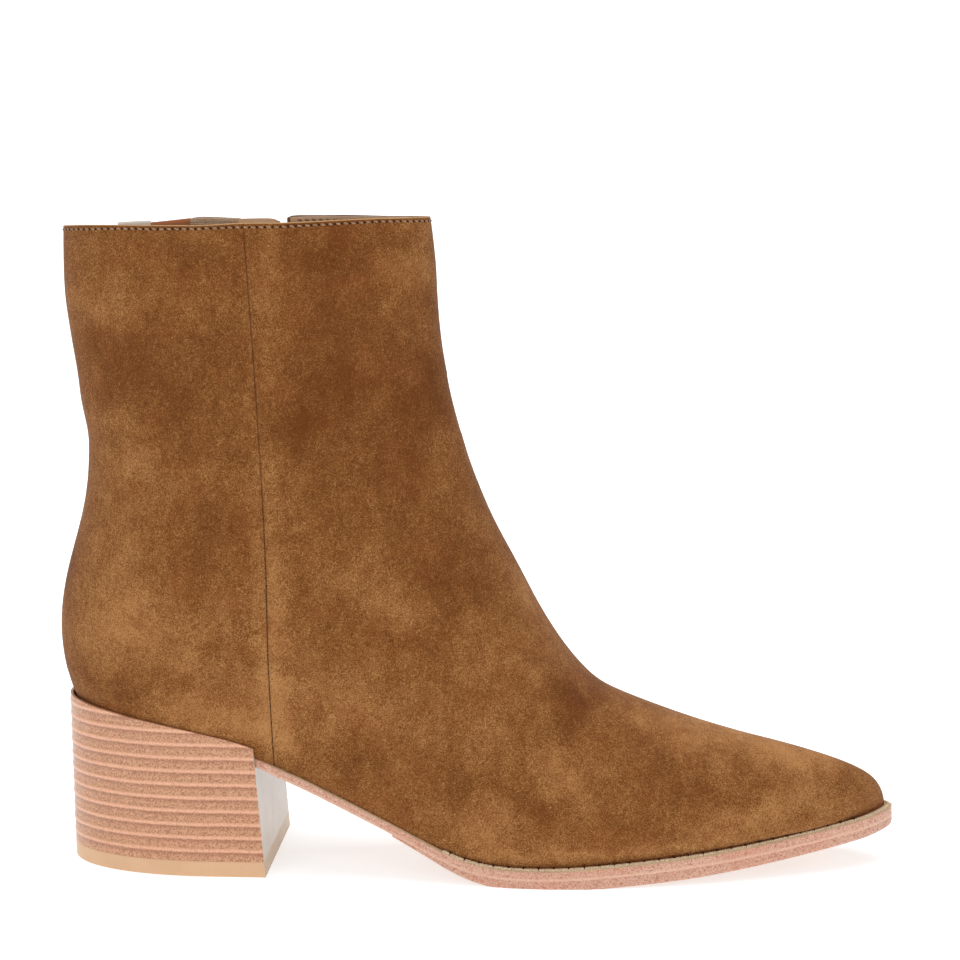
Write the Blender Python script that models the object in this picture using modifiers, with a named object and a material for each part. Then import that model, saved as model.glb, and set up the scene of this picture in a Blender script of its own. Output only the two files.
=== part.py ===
"""Pointed ankle bootie for the right foot, with a block heel and an inside zip.

Sizes are in millimetres, and each mesh is scaled to metres as it is made.
The last lies with +X to the toe, +Y to the inner side of the foot, +Z up and the floor at 0.
"""
from collections import namedtuple
import math

import bmesh
import bpy
import numpy as np
from mathutils import Matrix, Vector
from mathutils.bvhtree import BVHTree

MM = 0.001
GAP = 0.3
WELD = 0.001
SMOOTH_ANGLE = 35.0

# Plan centre of the whole bootie in the last's frame, which becomes the part's origin
PLAN_CENTRE = Vector((128.8, 2.8, 0.0))

# Sole outline
SOLE_BACK_X = -3.4
SOLE_TIP_X = 263.2
HEEL_ROUND_LENGTH = 50.0
HEEL_ROUND_POWER = 2.2
TOE_ROUND_LENGTH = 12.0
TOE_ROUND_POWER = 2.0
TOE_SWING = 3.0
SWING_START_X = 120.0

# Upper
WALL = 1.8
SECTION_STEPS = 90
CROWDING = 0.5
UPPER_COLUMNS = 30
FOOT_ROW_STEP = 0.5
SHAFT_ROW_STEP = 1.0
SHAFT_ROWS_FROM = 17
SEAT_EXTRA_ROWS = (15.25, 15.75, 15.9)
TOE_INSET = 2.6
HEEL_INSET = 1.6

# Sole layers
OUTSOLE_BACK_X = 104.0
INSOLE_THICK = 2.4
INSOLE_SIDE_CLEAR = 2.9
INSOLE_BACK_CLEAR = 7.0
INSOLE_TOE_CLEAR = 7.0
SOLE_STATIONS = 44
OUTLINE_STEPS = 240
SEAT_FRONT_X = 60.0
SHANK_START_X = 67.0

# Heel block, with its breast leaning forward to the floor
HEEL_HALF_WIDTH = 27.9
HEEL_BACK_FOOT_X = -3.1
HEEL_BACK_TOP_X = -3.8
HEEL_BREAST_FOOT_X = 63.4
HEEL_BREAST_TOP_X = 58.6
HEEL_TOP_Z = 60.0
HEEL_LIP = 3.0
RIB_PITCH = 4.3
RIB_BAND = 2.7
RIB_DEPTH = 0.35
HEEL_COLUMNS = 14
LIFT_THICK = 4.8
LIFT_EDGE = 0.3
SEAT_CUT_FROM = 10.0
SHARPEST_GROWTH = 1.6
CUTTER_MARGIN = 15.0
CUTTER_STATIONS = 12

# Inside zip
ZIP_FOOT_Z = 74.0
ZIP_TAPE_TOP_Z = 202.0
ZIP_TAPE_TAIL = 5.0
ZIP_READ_TOP_Z = 203.5
ZIP_CUT_TOP_Z = 225.0
ZIP_CUT_DEPTH = 8.0
ZIP_SLANT = 1.05
ZIP_STATIONS = 16
ZIP_ACROSS = (-1.0, -0.5, 0.0, 0.5, 1.0)
ZIP_TAPE_HALF = 8.0
ZIP_TAPE_THICK = 0.8
ZIP_TEETH_HALF = 2.3
ZIP_TEETH_THICK = 1.5
SLIDER_TOP_Z = 200.5
SLIDER_LENGTH = 10.0
SLIDER_HALF = 3.1
SLIDER_THICK = 3.1
SLIDER_FACE = 1.3
SLIDER_ROUND = 1.0
BRIDGE_HALF = 0.8
BRIDGE_RISE = 2.3
BRIDGE_ROOT = 1.0
BRIDGE_BAR = 0.9
BRIDGE_SPAN = 4.6
BRIDGE_POST = 1.1
BRIDGE_ROUND = 0.8
PULL_HALF = 2.7
PULL_THICK = 1.0
PULL_LENGTH = 21.0
PULL_EYE_LENGTH = 5.4
PULL_EYE_HALF = 1.3
PULL_BAR = 1.3
PULL_AXIS_DROP = 1.3
PULL_ROUND = 1.2
ROUND_SEGMENTS = 3

# Half widths of the sole either side of its bent centre line, before the ends are rounded
Outline = namedtuple("Outline", "x lateral medial")
OUTLINE = (
    Outline(-4.0, 27.5, 27.5),
    Outline(45.0, 27.8, 27.2),
    Outline(63.0, 27.6, 25.0),
    Outline(85.0, 27.6, 20.6),
    Outline(105.0, 29.2, 19.4),
    Outline(125.0, 31.9, 23.6),
    Outline(145.0, 34.2, 32.0),
    Outline(158.0, 34.6, 37.2),
    Outline(172.0, 33.8, 39.6),
    Outline(188.0, 31.3, 38.0),
    Outline(205.0, 27.6, 33.2),
    Outline(220.0, 23.4, 27.4),
    Outline(235.0, 18.6, 20.9),
    Outline(248.0, 14.0, 15.2),
    Outline(258.0, 9.9, 10.4),
    Outline(263.2, 7.6, 7.8),
)

# Height of the line where the upper meets the sole, from the heel seat over the arch to the toe
Feather = namedtuple("Feather", "x z")
FEATHER_LINE = (
    Feather(-8.0, 51.9),
    Feather(20.0, 47.8),
    Feather(40.0, 44.2),
    Feather(58.0, 39.7),
    Feather(75.0, 32.7),
    Feather(95.0, 23.0),
    Feather(112.0, 14.8),
    Feather(124.0, 9.3),
    Feather(134.0, 6.8),
    Feather(146.0, 6.1),
    Feather(158.0, 6.4),
    Feather(172.0, 7.4),
    Feather(190.0, 8.7),
    Feather(210.0, 10.7),
    Feather(230.0, 13.3),
    Feather(249.0, 16.2),
    Feather(264.0, 18.6),
)

# How far the upper's lower edge stands inside the sole's edge
Ledge = namedtuple("Ledge", "x width")
LEDGE = (
    Ledge(-4.0, 1.5),
    Ledge(60.0, 1.4),
    Ledge(80.0, 0.9),
    Ledge(112.0, 0.9),
    Ledge(140.0, 2.2),
    Ledge(263.0, 2.5),
)

# Thickness of the sole's two layers, the lower one tapering out in the arch
Layers = namedtuple("Layers", "x midsole outsole")
LAYERS = (
    Layers(60.0, 2.7, 0.5),
    Layers(104.0, 2.8, 0.5),
    Layers(116.0, 3.0, 1.0),
    Layers(128.0, 3.2, 2.2),
    Layers(140.0, 3.4, 3.2),
    Layers(200.0, 3.5, 3.2),
    Layers(263.0, 3.6, 2.6),
)

# Sections of the last, fanned from the toe over the instep to the collar.
# Front is a section's point on the ridge, back its point on the sole or on the back curve.
# Seat is the half width at the back point before the heel is rounded, where no sole edge gives it.
# Widest is the share of the way from back to front at which it is widest.
Section = namedtuple(
    "Section",
    "name front_x front_z back_x back_z seat lateral medial widest low_round front_round",
)
SECTIONS = (
    Section("toe edge", 261.0, 18.2, 238.0, None, None, 15.2, 17.3, 0.02, 1.4, 1.35),
    Section("toe lip", 261.2, 21.2, 236.0, None, None, 16.2, 18.4, 0.05, 1.4, 1.45),
    Section("toe nose", 259.6, 25.2, 232.5, None, None, 17.8, 20.2, 0.08, 1.4, 1.55),
    Section("toe crown", 254.0, 29.6, 227.5, None, None, 19.8, 22.6, 0.12, 1.4, 1.65),
    Section("toe box", 241.0, 34.6, 219.5, None, None, 22.6, 26.2, 0.16, 1.4, 1.75),
    Section("toes", 222.0, 39.7, 206.5, None, None, 26.6, 31.6, 0.20, 1.4, 1.85),
    Section("joints", 203.0, 44.7, 191.5, None, None, 30.2, 36.2, 0.24, 1.4, 1.9),
    Section("ball", 184.0, 51.3, 175.0, None, None, 33.2, 38.6, 0.27, 1.4, 1.9),
    Section("vamp", 168.5, 59.0, 157.0, None, None, 34.2, 37.0, 0.29, 1.4, 1.9),
    Section("bend", 157.5, 70.6, 137.0, None, None, 33.6, 33.2, 0.31, 1.4, 1.9),
    Section("instep", 149.2, 83.8, 116.0, None, None, 32.4, 29.8, 0.33, 1.4, 1.9),
    Section("high instep", 141.8, 97.8, 94.0, None, None, 31.2, 28.4, 0.34, 1.4, 1.95),
    Section("waist", 135.1, 110.3, 71.0, None, None, 30.4, 28.6, 0.35, 1.4, 2.0),
    Section("seat front", 130.2, 121.4, 49.0, None, None, 30.0, 29.4, 0.36, 1.4, 2.0),
    Section("seat", 126.4, 131.8, 25.0, None, None, 29.8, 29.6, 0.37, 1.4, 2.0),
    Section("seat back", 123.7, 141.0, 6.0, None, None, 29.8, 29.6, 0.38, 1.45, 2.0),
    Section("heel edge", 121.7, 148.6, -1.8, 51.1, 26.0, 29.6, 29.5, 0.39, 1.5, 2.0),
    Section("heel", 119.9, 156.8, -4.8, 63.0, 27.0, 29.4, 29.3, 0.40, 1.6, 2.0),
    Section("heel curve", 118.4, 165.0, -6.0, 78.0, 27.6, 29.0, 29.0, 0.41, 1.7, 2.0),
    Section("counter", 117.4, 172.8, -2.8, 97.0, 27.4, 28.4, 28.4, 0.42, 1.8, 2.0),
    Section("ankle", 116.8, 180.0, 1.8, 113.5, 26.8, 27.6, 27.6, 0.43, 1.9, 2.0),
    Section("back curve", 116.4, 186.6, 4.0, 128.0, 26.0, 26.8, 26.8, 0.44, 2.0, 2.0),
    Section("low shaft", 116.0, 192.6, 3.2, 145.0, 25.1, 25.9, 25.9, 0.45, 2.0, 2.0),
    Section("shaft", 115.5, 198.0, 0.6, 163.0, 24.2, 25.0, 25.0, 0.46, 2.0, 2.0),
    Section("high shaft", 115.0, 203.2, -2.0, 184.0, 23.3, 24.0, 24.0, 0.47, 2.0, 2.0),
    Section("collar", 114.4, 207.6, -2.1, 204.6, 22.4, 23.0, 23.0, 0.48, 2.0, 2.0),
)
CLOSED_FROM = [row.name for row in SECTIONS].index("heel edge")

# Profiles of the sole's edges: distance past the outline, and share of the layer's thickness down
Edge = namedtuple("Edge", "out share")
MIDSOLE_EDGE = (
    Edge(-0.6, 0.0),
    Edge(0.0, 0.16),
    Edge(0.0, 0.64),
    Edge(0.4, 0.74),
    Edge(0.4, 0.94),
    Edge(-0.1, 1.0),
)
OUTSOLE_EDGE = (
    Edge(-0.2, 0.0),
    Edge(0.1, 0.2),
    Edge(0.0, 0.72),
    Edge(-0.7, 1.0),
)
INSOLE_EDGE = (
    Edge(-0.4, 0.0),
    Edge(0.0, 0.3),
    Edge(0.0, 1.0),
)

# Line of the zip up the inner side, and half the width of its slot, which narrows over the slider
ZipPoint = namedtuple("ZipPoint", "z x slot_half")
ZIP_LINE = (
    ZipPoint(60.0, 65.7, 3.6),
    ZipPoint(121.0, 65.6, 3.6),
    ZipPoint(182.0, 65.2, 3.6),
    ZipPoint(201.2, 64.9, 3.6),
    ZipPoint(204.5, 64.8, 1.2),
    ZipPoint(225.0, 64.5, 1.2),
)

Finish = namedtuple("Finish", "name colour roughness metallic")
SUEDE = Finish("suede", (0.26, 0.105, 0.030), 0.95, 0.0)
SOCK = Finish("insole_leather", (0.62, 0.43, 0.27), 0.7, 0.0)
SOLE_EDGE = Finish("sole_leather", (0.58, 0.32, 0.20), 0.45, 0.0)
TREAD = Finish("tread_rubber", (0.50, 0.28, 0.17), 0.6, 0.0)
STACK = Finish("stacked_heel", (0.46, 0.22, 0.13), 0.4, 0.0)
LIFT = Finish("lift_rubber", (0.66, 0.41, 0.22), 0.6, 0.0)
TAPE = Finish("zip_cloth", (0.19, 0.12, 0.08), 0.9, 0.0)
BRASS = Finish("zip_metal", (0.52, 0.42, 0.28), 0.35, 1.0)


class Spline:
    """Natural cubic curve through the values of one column of a table."""

    def __init__(self, knots, values):
        self.knots = np.asarray(knots, dtype=float)
        self.values = np.asarray(values, dtype=float)
        step = np.diff(self.knots)
        slope = np.diff(self.values) / step
        count = len(self.knots)
        system = np.eye(count)
        target = np.zeros(count)
        for i in range(1, count - 1):
            system[i, i - 1 : i + 2] = (step[i - 1], 2 * (step[i - 1] + step[i]), step[i])
            target[i] = 6 * (slope[i] - slope[i - 1])
        self.bend = np.linalg.solve(system, target)

    def __call__(self, at):
        at = np.clip(at, self.knots[0], self.knots[-1])
        i = np.clip(np.searchsorted(self.knots, at) - 1, 0, len(self.knots) - 2)
        step = self.knots[i + 1] - self.knots[i]
        ahead = (self.knots[i + 1] - at) / step
        behind = 1 - ahead
        cubic = (ahead**3 - ahead) * self.bend[i] + (behind**3 - behind) * self.bend[i + 1]
        return ahead * self.values[i] + behind * self.values[i + 1] + cubic * step**2 / 6


def column(table, name):
    """Values of one named column of a table."""
    return [getattr(row, name) for row in table]


def straight(table, key, name, at):
    """Read a table along straight lines between its rows."""
    return np.interp(at, column(table, key), column(table, name))


HALF_WIDTH = {
    side: Spline(column(OUTLINE, "x"), column(OUTLINE, side)) for side in ("lateral", "medial")
}
SIDE_SIGN = {"lateral": -1, "medial": 1}
feather_z = Spline(column(FEATHER_LINE, "x"), column(FEATHER_LINE, "z"))
zip_x = Spline(column(ZIP_LINE, "z"), column(ZIP_LINE, "x"))


def swing(x):
    """Bend of the last's centre line towards the big toe."""
    run = np.clip((x - SWING_START_X) / (SOLE_TIP_X - SWING_START_X), 0, 1)
    return TOE_SWING * run**2


def rounding(distance, length, power):
    """Share of the half width that is left near a rounded end."""
    left = np.clip(1 - distance / length, 0, 1)
    return (1 - left**power) ** (1 / power)


def half_width(x, side, inset, back, tip):
    """Half width of the sole's outline, set in from its edge and closed at both ends."""
    width = HALF_WIDTH[side](x) - inset
    heel = rounding(x - back, HEEL_ROUND_LENGTH, HEEL_ROUND_POWER)
    toe = rounding(tip - x, TOE_ROUND_LENGTH, TOE_ROUND_POWER)
    return width * heel * toe


def feather_half_width(x, side):
    """Half width of the upper's lower edge, before the heel is rounded."""
    width = HALF_WIDTH[side](x) - straight(LEDGE, "x", "width", x)
    return width * rounding(SOLE_TIP_X - TOE_INSET - x, TOE_ROUND_LENGTH, TOE_ROUND_POWER)


def evenly(points, count, crowding=0.0):
    """Resample a line of points along its length, with shorter steps at its ends and middle if asked."""
    points = np.asarray(points)
    length = np.concatenate(([0.0], np.cumsum(np.linalg.norm(np.diff(points, axis=0), axis=1))))
    step = np.linspace(0.0, 1.0, count + 1)
    turn = 4 * math.pi
    at = length[-1] * (step - crowding * np.sin(turn * step) / turn)
    return np.column_stack([np.interp(at, length, points[:, k]) for k in range(points.shape[1])])


def section_track(name):
    """Curve of one column of the sections, broken where the seat turns up the back."""
    numbers = np.arange(len(SECTIONS))
    values = column(SECTIONS, name)
    if name not in ("back_x", "back_z", "seat"):
        return Spline(numbers, values)
    shaft = Spline(numbers[CLOSED_FROM:], values[CLOSED_FROM:])
    if name != "back_x":
        return shaft
    foot = Spline(numbers[: CLOSED_FROM + 1], values[: CLOSED_FROM + 1])
    return lambda at: foot(at) if at <= CLOSED_FROM else back_x(TRACKS["back_z"](at))


TRACKS = {name: section_track(name) for name in Section._fields[1:]}
back_x = Spline(column(SECTIONS[CLOSED_FROM:], "back_z"), column(SECTIONS[CLOSED_FROM:], "back_x"))


def section_line(at, count):
    """Points of one section of the upper, from the outer lower edge over the ridge to the inner one."""
    row = {name: float(track(at)) for name, track in TRACKS.items()}
    closed = at >= CLOSED_FROM
    if not closed:
        row["back_z"] = float(feather_z(row["back_x"]))
    quarter = np.linspace(0.0, math.pi / 2, SECTION_STEPS)
    lower = 2 / row["low_round"]
    upper = 2 / row["front_round"]
    low_share = row["widest"] * (1 - np.cos(quarter).clip(0) ** lower)
    high_share = row["widest"] + (1 - row["widest"]) * np.sin(quarter[1:]) ** upper
    share = np.concatenate((low_share, high_share))
    x = row["back_x"] + share * (row["front_x"] - row["back_x"])
    z = row["back_z"] + share * (row["front_z"] - row["back_z"])
    heel = rounding(x - back_x(z), HEEL_ROUND_LENGTH, HEEL_ROUND_POWER)
    sides = {}
    for side, sign in SIDE_SIGN.items():
        edge = row["seat"] if closed else float(feather_half_width(row["back_x"], side))
        widest = max(row[side], edge)
        low_y = edge + (widest - edge) * np.sin(quarter) ** lower
        high_y = widest * np.cos(quarter[1:]).clip(0) ** upper
        y = sign * np.concatenate((low_y, high_y)) * heel + swing(x)
        sides[side] = np.column_stack((x, y, z))
    line = np.concatenate((sides["lateral"], sides["medial"][-2::-1]))
    return evenly(line, count, CROWDING)


def upper_rows():
    """Section numbers that the mesh passes through, closer together on the foot."""
    foot = np.arange(0.0, SHAFT_ROWS_FROM, FOOT_ROW_STEP)
    shaft = np.arange(SHAFT_ROWS_FROM, len(SECTIONS), SHAFT_ROW_STEP)
    return sorted({*foot, *shaft, *SEAT_EXTRA_ROWS})


def skin(rings, closed):
    """Mesh the faces between successive rings of points, each pair cut the same way."""
    bm = bmesh.new()
    rows = [[bm.verts.new(point) for point in ring] for ring in rings]
    for low, high in zip(rows, rows[1:]):
        count = len(low)
        for i in range(count if closed else count - 1):
            k = (i + 1) % count
            bm.faces.new((low[i], low[k], high[k]))
            bm.faces.new((low[i], high[k], high[i]))
    return bm, rows


def close_up(bm, rows=()):
    """Cap the given rings, weld what meets and turn the faces outwards."""
    for row in rows:
        bm.faces.new(row)
    bmesh.ops.remove_doubles(bm, verts=bm.verts, dist=WELD)
    bmesh.ops.dissolve_degenerate(bm, edges=bm.edges, dist=WELD)
    bmesh.ops.recalc_face_normals(bm, faces=bm.faces)
    return bm


def upper_surface():
    """Outer face of the upper, open at the collar and underneath."""
    bm, _ = skin([section_line(at, UPPER_COLUMNS) for at in upper_rows()], closed=False)
    bmesh.ops.remove_doubles(bm, verts=bm.verts, dist=WELD)
    bmesh.ops.recalc_face_normals(bm, faces=bm.faces)
    outer = max(bm.faces, key=lambda face: face.calc_center_median().y)
    if outer.normal.y < 0:
        bmesh.ops.reverse_faces(bm, faces=bm.faces)
    return bm


def outline_side(side, inset, start, back, tip, count):
    """One side of a plate's outline in plan, with the directions pointing out of it."""
    turn = (1 - np.cos(np.linspace(0.0, math.pi, OUTLINE_STEPS))) / 2
    x = start + (tip - start) * turn
    y = SIDE_SIGN[side] * half_width(x, side, inset(x), back, tip) + swing(x)
    points = evenly(np.column_stack((x, y)), count)
    along = np.gradient(points, axis=0)
    out = np.column_stack((along[:, 1], -along[:, 0])) * -SIDE_SIGN[side]
    out /= np.linalg.norm(out, axis=1)[:, None]
    out[-1] = (1.0, 0.0)
    if start == back:
        out[0] = (-1.0, 0.0)
    return points, out


def build_plate(inset, start, back, tip, edge, top_z, thickness):
    """Layer that follows the feather line, with the profile of its edge on both sides."""
    count = SOLE_STATIONS
    lateral, lateral_out = outline_side("lateral", inset, start, back, tip, count)
    medial, medial_out = outline_side("medial", inset, start, back, tip, count)
    rings = []
    for i in range(count + 1):
        ring = []
        for points, out, rows in ((lateral, lateral_out, edge), (medial, medial_out, edge[::-1])):
            for row in rows:
                x, y = points[i] + out[i] * row.out
                ring.append((x, y, max(0.0, top_z(x) - row.share * thickness(x))))
        rings.append(ring)
    bm, rows = skin(rings, closed=True)
    return close_up(bm, rows[:1] if start > back else ())


def steepness(x):
    """Length along the feather line for each step in X."""
    slope = float(feather_z(x + 0.5) - feather_z(x - 0.5))
    return math.sqrt(1 + slope**2)


def midsole_top(x):
    """Height of the midsole's top, just under the upper."""
    return float(feather_z(x)) - GAP


def midsole_depth(x):
    """Upright thickness of the midsole."""
    return float(straight(LAYERS, "x", "midsole", x)) * steepness(x)


def outsole_top(x):
    """Height of the outsole's top, just under the midsole."""
    return midsole_top(x) - midsole_depth(x) - GAP * steepness(x)


def outsole_depth(x):
    """Upright thickness of the outsole."""
    return float(straight(LAYERS, "x", "outsole", x)) * steepness(x)


def insole_top(x):
    """Height of the face that the foot stands on."""
    return float(feather_z(x)) + GAP + INSOLE_THICK


def seat_inset(x):
    """The midsole steps in where the heel's cup takes it."""
    share = np.clip((SHANK_START_X - x) / (SHANK_START_X - SEAT_FRONT_X), 0, 1)
    return (HEEL_INSET + GAP) * share


def insole_depth(x):
    """Upright thickness of the insole."""
    return INSOLE_THICK


def outsole_inset(x):
    """The outsole keeps the sole's full outline."""
    return np.zeros_like(x)


def insole_inset(x):
    """The insole lies inside the upper's wall."""
    return straight(LEDGE, "x", "width", x) + INSOLE_SIDE_CLEAR


def build_midsole():
    """Stitched upper layer of the sole, let into the heel at the seat."""
    back = SOLE_BACK_X + HEEL_INSET + GAP
    return build_plate(
        seat_inset, back, back, SOLE_TIP_X, MIDSOLE_EDGE, midsole_top, midsole_depth
    )


def build_outsole():
    """Tread layer from the arch to the toe."""
    return build_plate(
        outsole_inset, OUTSOLE_BACK_X, SOLE_BACK_X, SOLE_TIP_X, OUTSOLE_EDGE, outsole_top, outsole_depth
    )


def build_insole():
    """Board that the foot stands on."""
    back = SOLE_BACK_X + HEEL_INSET + INSOLE_BACK_CLEAR
    tip = SOLE_TIP_X - TOE_INSET - INSOLE_TOE_CLEAR
    return build_plate(
        insole_inset, back, back, tip, INSOLE_EDGE, insole_top, insole_depth
    )


def grow(bm, distance):
    """Push a closed form's surface out evenly."""
    bm.normal_update()
    reach = [distance * min(v.calc_shell_factor(), SHARPEST_GROWTH) for v in bm.verts]
    for v, step in zip(bm.verts, reach):
        v.co += v.normal * step
    return bm


def upper_form():
    """The upper as a filled form, to cut its seat out of the heel."""
    numbers = [at for at in upper_rows() if at >= SEAT_CUT_FROM]
    bm, rows = skin([section_line(at, UPPER_COLUMNS) for at in numbers], closed=True)
    return grow(close_up(bm, (rows[0], rows[-1])), GAP)


def heel_outline(z, out):
    """Round back of the heel block at one height, from one breast corner to the other."""
    rise = z / HEEL_TOP_Z
    back = HEEL_BACK_FOOT_X + rise * (HEEL_BACK_TOP_X - HEEL_BACK_FOOT_X)
    breast = HEEL_BREAST_FOOT_X + rise * (HEEL_BREAST_TOP_X - HEEL_BREAST_FOOT_X)
    turn = 1 - np.cos(np.linspace(0.0, math.pi / 2, OUTLINE_STEPS))
    x = back + (breast - back) * turn
    width = HEEL_HALF_WIDTH * rounding(x - back, HEEL_ROUND_LENGTH, HEEL_ROUND_POWER)
    lateral = np.column_stack((x, -width))
    medial = np.column_stack((x, width))
    points = evenly(np.concatenate((lateral[:0:-1], medial)), 2 * HEEL_COLUMNS)
    along = np.gradient(points, axis=0)
    normal = np.column_stack((-along[:, 1], along[:, 0]))
    normal /= np.linalg.norm(normal, axis=1)[:, None]
    normal[0] = (0.0, -1.0)
    normal[-1] = (0.0, 1.0)
    points = points + normal * out
    return [(x, y, z) for x, y in points]


def build_heel_block():
    """Stack of ribs, taller than the seat that is cut into it."""
    rings = []
    z = LIFT_THICK + GAP
    while z < HEEL_TOP_Z - RIB_PITCH:
        rings.append(heel_outline(z, 0.0))
        rings.append(heel_outline(z + RIB_BAND, 0.0))
        rings.append(heel_outline(z + (RIB_BAND + RIB_PITCH) / 2, RIB_DEPTH))
        z += RIB_PITCH
    rings.append(heel_outline(z, 0.0))
    bm, rows = skin(rings, closed=True)
    return close_up(bm, (rows[0], rows[-1]))


def build_top_lift():
    """Flat lift under the heel block."""
    edge = LIFT_EDGE
    rings = [
        heel_outline(0.0, -edge),
        heel_outline(edge, 0.0),
        heel_outline(LIFT_THICK - edge, 0.0),
        heel_outline(LIFT_THICK, -edge),
    ]
    bm, rows = skin(rings, closed=True)
    return close_up(bm, (rows[0], rows[-1]))


def above_lip():
    """Everything above the heel's lip, which follows the feather line."""
    rings = []
    first = HEEL_BACK_TOP_X - CUTTER_MARGIN
    last = HEEL_BREAST_FOOT_X + CUTTER_MARGIN
    high = HEEL_TOP_Z + CUTTER_MARGIN
    for x in np.linspace(first, last, CUTTER_STATIONS):
        low = float(feather_z(x)) + HEEL_LIP
        reach = 2 * HEEL_HALF_WIDTH
        rings.append(((x, -reach, low), (x, reach, low), (x, reach, high), (x, -reach, high)))
    bm, rows = skin(rings, closed=True)
    return close_up(bm, (rows[0], rows[-1]))


def slot_half(z):
    """Half the width of the zip's slot in the upper."""
    return float(straight(ZIP_LINE, "z", "slot_half", z))


def tape_half(z):
    """Half the width of the zip's tape."""
    return ZIP_TAPE_HALF


def teeth_half(z):
    """Half the width of the closed row of teeth."""
    return ZIP_TEETH_HALF


class ZipLine:
    """Places on the inner side of the upper along the zip."""

    def __init__(self, surface):
        self.tree = BVHTree.FromBMesh(surface)

    def skin_y(self, x, z):
        """Height of the upper's outer face over the centre plane."""
        start = Vector((x, SOLE_TIP_X, min(z, ZIP_READ_TOP_Z)))
        return self.tree.ray_cast(start, Vector((0.0, -1.0, 0.0)))[0].y

    def strip(self, low_z, high_z, half, front, back):
        """Strip along the zip between two depths under the outer face, half as wide as half tells."""
        bends = [z for z in column(ZIP_LINE, "z") if low_z < z < high_z]
        rings = []
        for z in sorted({*np.linspace(low_z, high_z, ZIP_STATIONS), *bends}):
            centre = float(zip_x(z))
            across = [centre + half(z) * u for u in ZIP_ACROSS]
            face = [(x, self.skin_y(x, z) - front, z) for x in across]
            rear = [(x, self.skin_y(x, z) - back, z) for x in reversed(across)]
            rings.append(face + rear)
        bm, rows = skin(rings, closed=True)
        return close_up(bm, (rows[0], rows[-1]))

    def frame(self):
        """Place of the slider: X across, Y out of the upper, Z up along the zip."""
        middle = SLIDER_TOP_Z - SLIDER_LENGTH / 2
        x = float(zip_x(middle))
        rise = self.skin_y(x, SLIDER_TOP_Z) - self.skin_y(x, SLIDER_TOP_Z - SLIDER_LENGTH)
        lean = math.atan2(rise, SLIDER_LENGTH)
        place = Vector((x, self.skin_y(x, middle), middle))
        return Matrix.Translation(place) @ Matrix.Rotation(-lean, 4, "X")


def block(low, high):
    """Box between two corners."""
    bm = bmesh.new()
    low = Vector(low)
    high = Vector(high)
    bmesh.ops.create_cube(bm, size=1.0)
    bmesh.ops.scale(bm, verts=bm.verts, vec=high - low)
    bmesh.ops.translate(bm, verts=bm.verts, vec=(low + high) / 2)
    return bm


def round_edges(bm, width, direction):
    """Bevel the edges that run along one axis."""
    edges = []
    for edge in bm.edges:
        run = (edge.verts[1].co - edge.verts[0].co).normalized()
        if run.cross(Vector(direction)).length < WELD:
            edges.append(edge)
    bmesh.ops.bevel(
        bm, geom=edges, offset=width, segments=ROUND_SEGMENTS, profile=0.5, affect="EDGES"
    )
    return bm


def build_slider_body():
    """Body of the zip's slider, about its middle on the upper's face."""
    half = SLIDER_LENGTH / 2
    bm = block((-SLIDER_HALF, SLIDER_FACE - SLIDER_THICK, -half), (SLIDER_HALF, SLIDER_FACE, half))
    return round_edges(bm, SLIDER_ROUND, (0, 1, 0))


def build_bridge():
    """Arch on the slider's face that holds the pull's bar."""
    half = BRIDGE_SPAN / 2 + BRIDGE_POST
    root = SLIDER_FACE - BRIDGE_ROOT
    top = SLIDER_FACE + BRIDGE_RISE + BRIDGE_BAR
    bm = block((-BRIDGE_HALF, root, -half), (BRIDGE_HALF, top, half))
    return round_edges(bm, BRIDGE_ROUND, (1, 0, 0))


def build_bridge_opening():
    """Way through the bridge for the pull's bar."""
    half = BRIDGE_SPAN / 2
    low = (-2 * BRIDGE_HALF, SLIDER_FACE, -half)
    return block(low, (2 * BRIDGE_HALF, SLIDER_FACE + BRIDGE_RISE, half))


def build_pull():
    """Pull tab hanging from its bar, with the bar's axis at the origin."""
    thick = PULL_THICK / 2
    bar = PULL_BAR / 2
    bm = block((-PULL_HALF, -thick, bar - PULL_LENGTH), (PULL_HALF, thick, bar))
    return round_edges(bm, PULL_ROUND, (0, 1, 0))


def build_pull_eye():
    """Hole in the pull that goes around the slider's bridge."""
    bar = PULL_BAR / 2
    low = (-PULL_EYE_HALF, -PULL_THICK, -bar - PULL_EYE_LENGTH)
    return block(low, (PULL_EYE_HALF, PULL_THICK, -bar))


def make_material(finish):
    """Plain material in a piece's colour."""
    material = bpy.data.materials.new(finish.name)
    material.use_nodes = True
    shader = material.node_tree.nodes["Principled BSDF"]
    shader.inputs["Base Color"].default_value = (*finish.colour, 1.0)
    shader.inputs["Roughness"].default_value = finish.roughness
    shader.inputs["Metallic"].default_value = finish.metallic
    return material


def make_object(name, bm, collection, finish=None, place=None):
    """Scale a mesh to metres about the part's origin, or about its own place, and link it."""
    if place is None:
        bmesh.ops.translate(bm, verts=bm.verts, vec=-PLAN_CENTRE)
    bmesh.ops.scale(bm, verts=bm.verts, vec=Vector((MM, MM, MM)))
    mesh = bpy.data.meshes.new(name)
    bm.to_mesh(mesh)
    bm.free()
    obj = bpy.data.objects.new(name, mesh)
    collection.objects.link(obj)
    if place is not None:
        spot = (place.translation - PLAN_CENTRE) * MM
        obj.matrix_world = Matrix.Translation(spot) @ place.to_3x3().to_4x4()
    if finish is None:
        obj.hide_render = True
        obj.display_type = "WIRE"
        return obj
    mesh.materials.append(make_material(finish))
    mesh.shade_smooth()
    mesh.set_sharp_from_angle(angle=math.radians(SMOOTH_ANGLE))
    return obj


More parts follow.
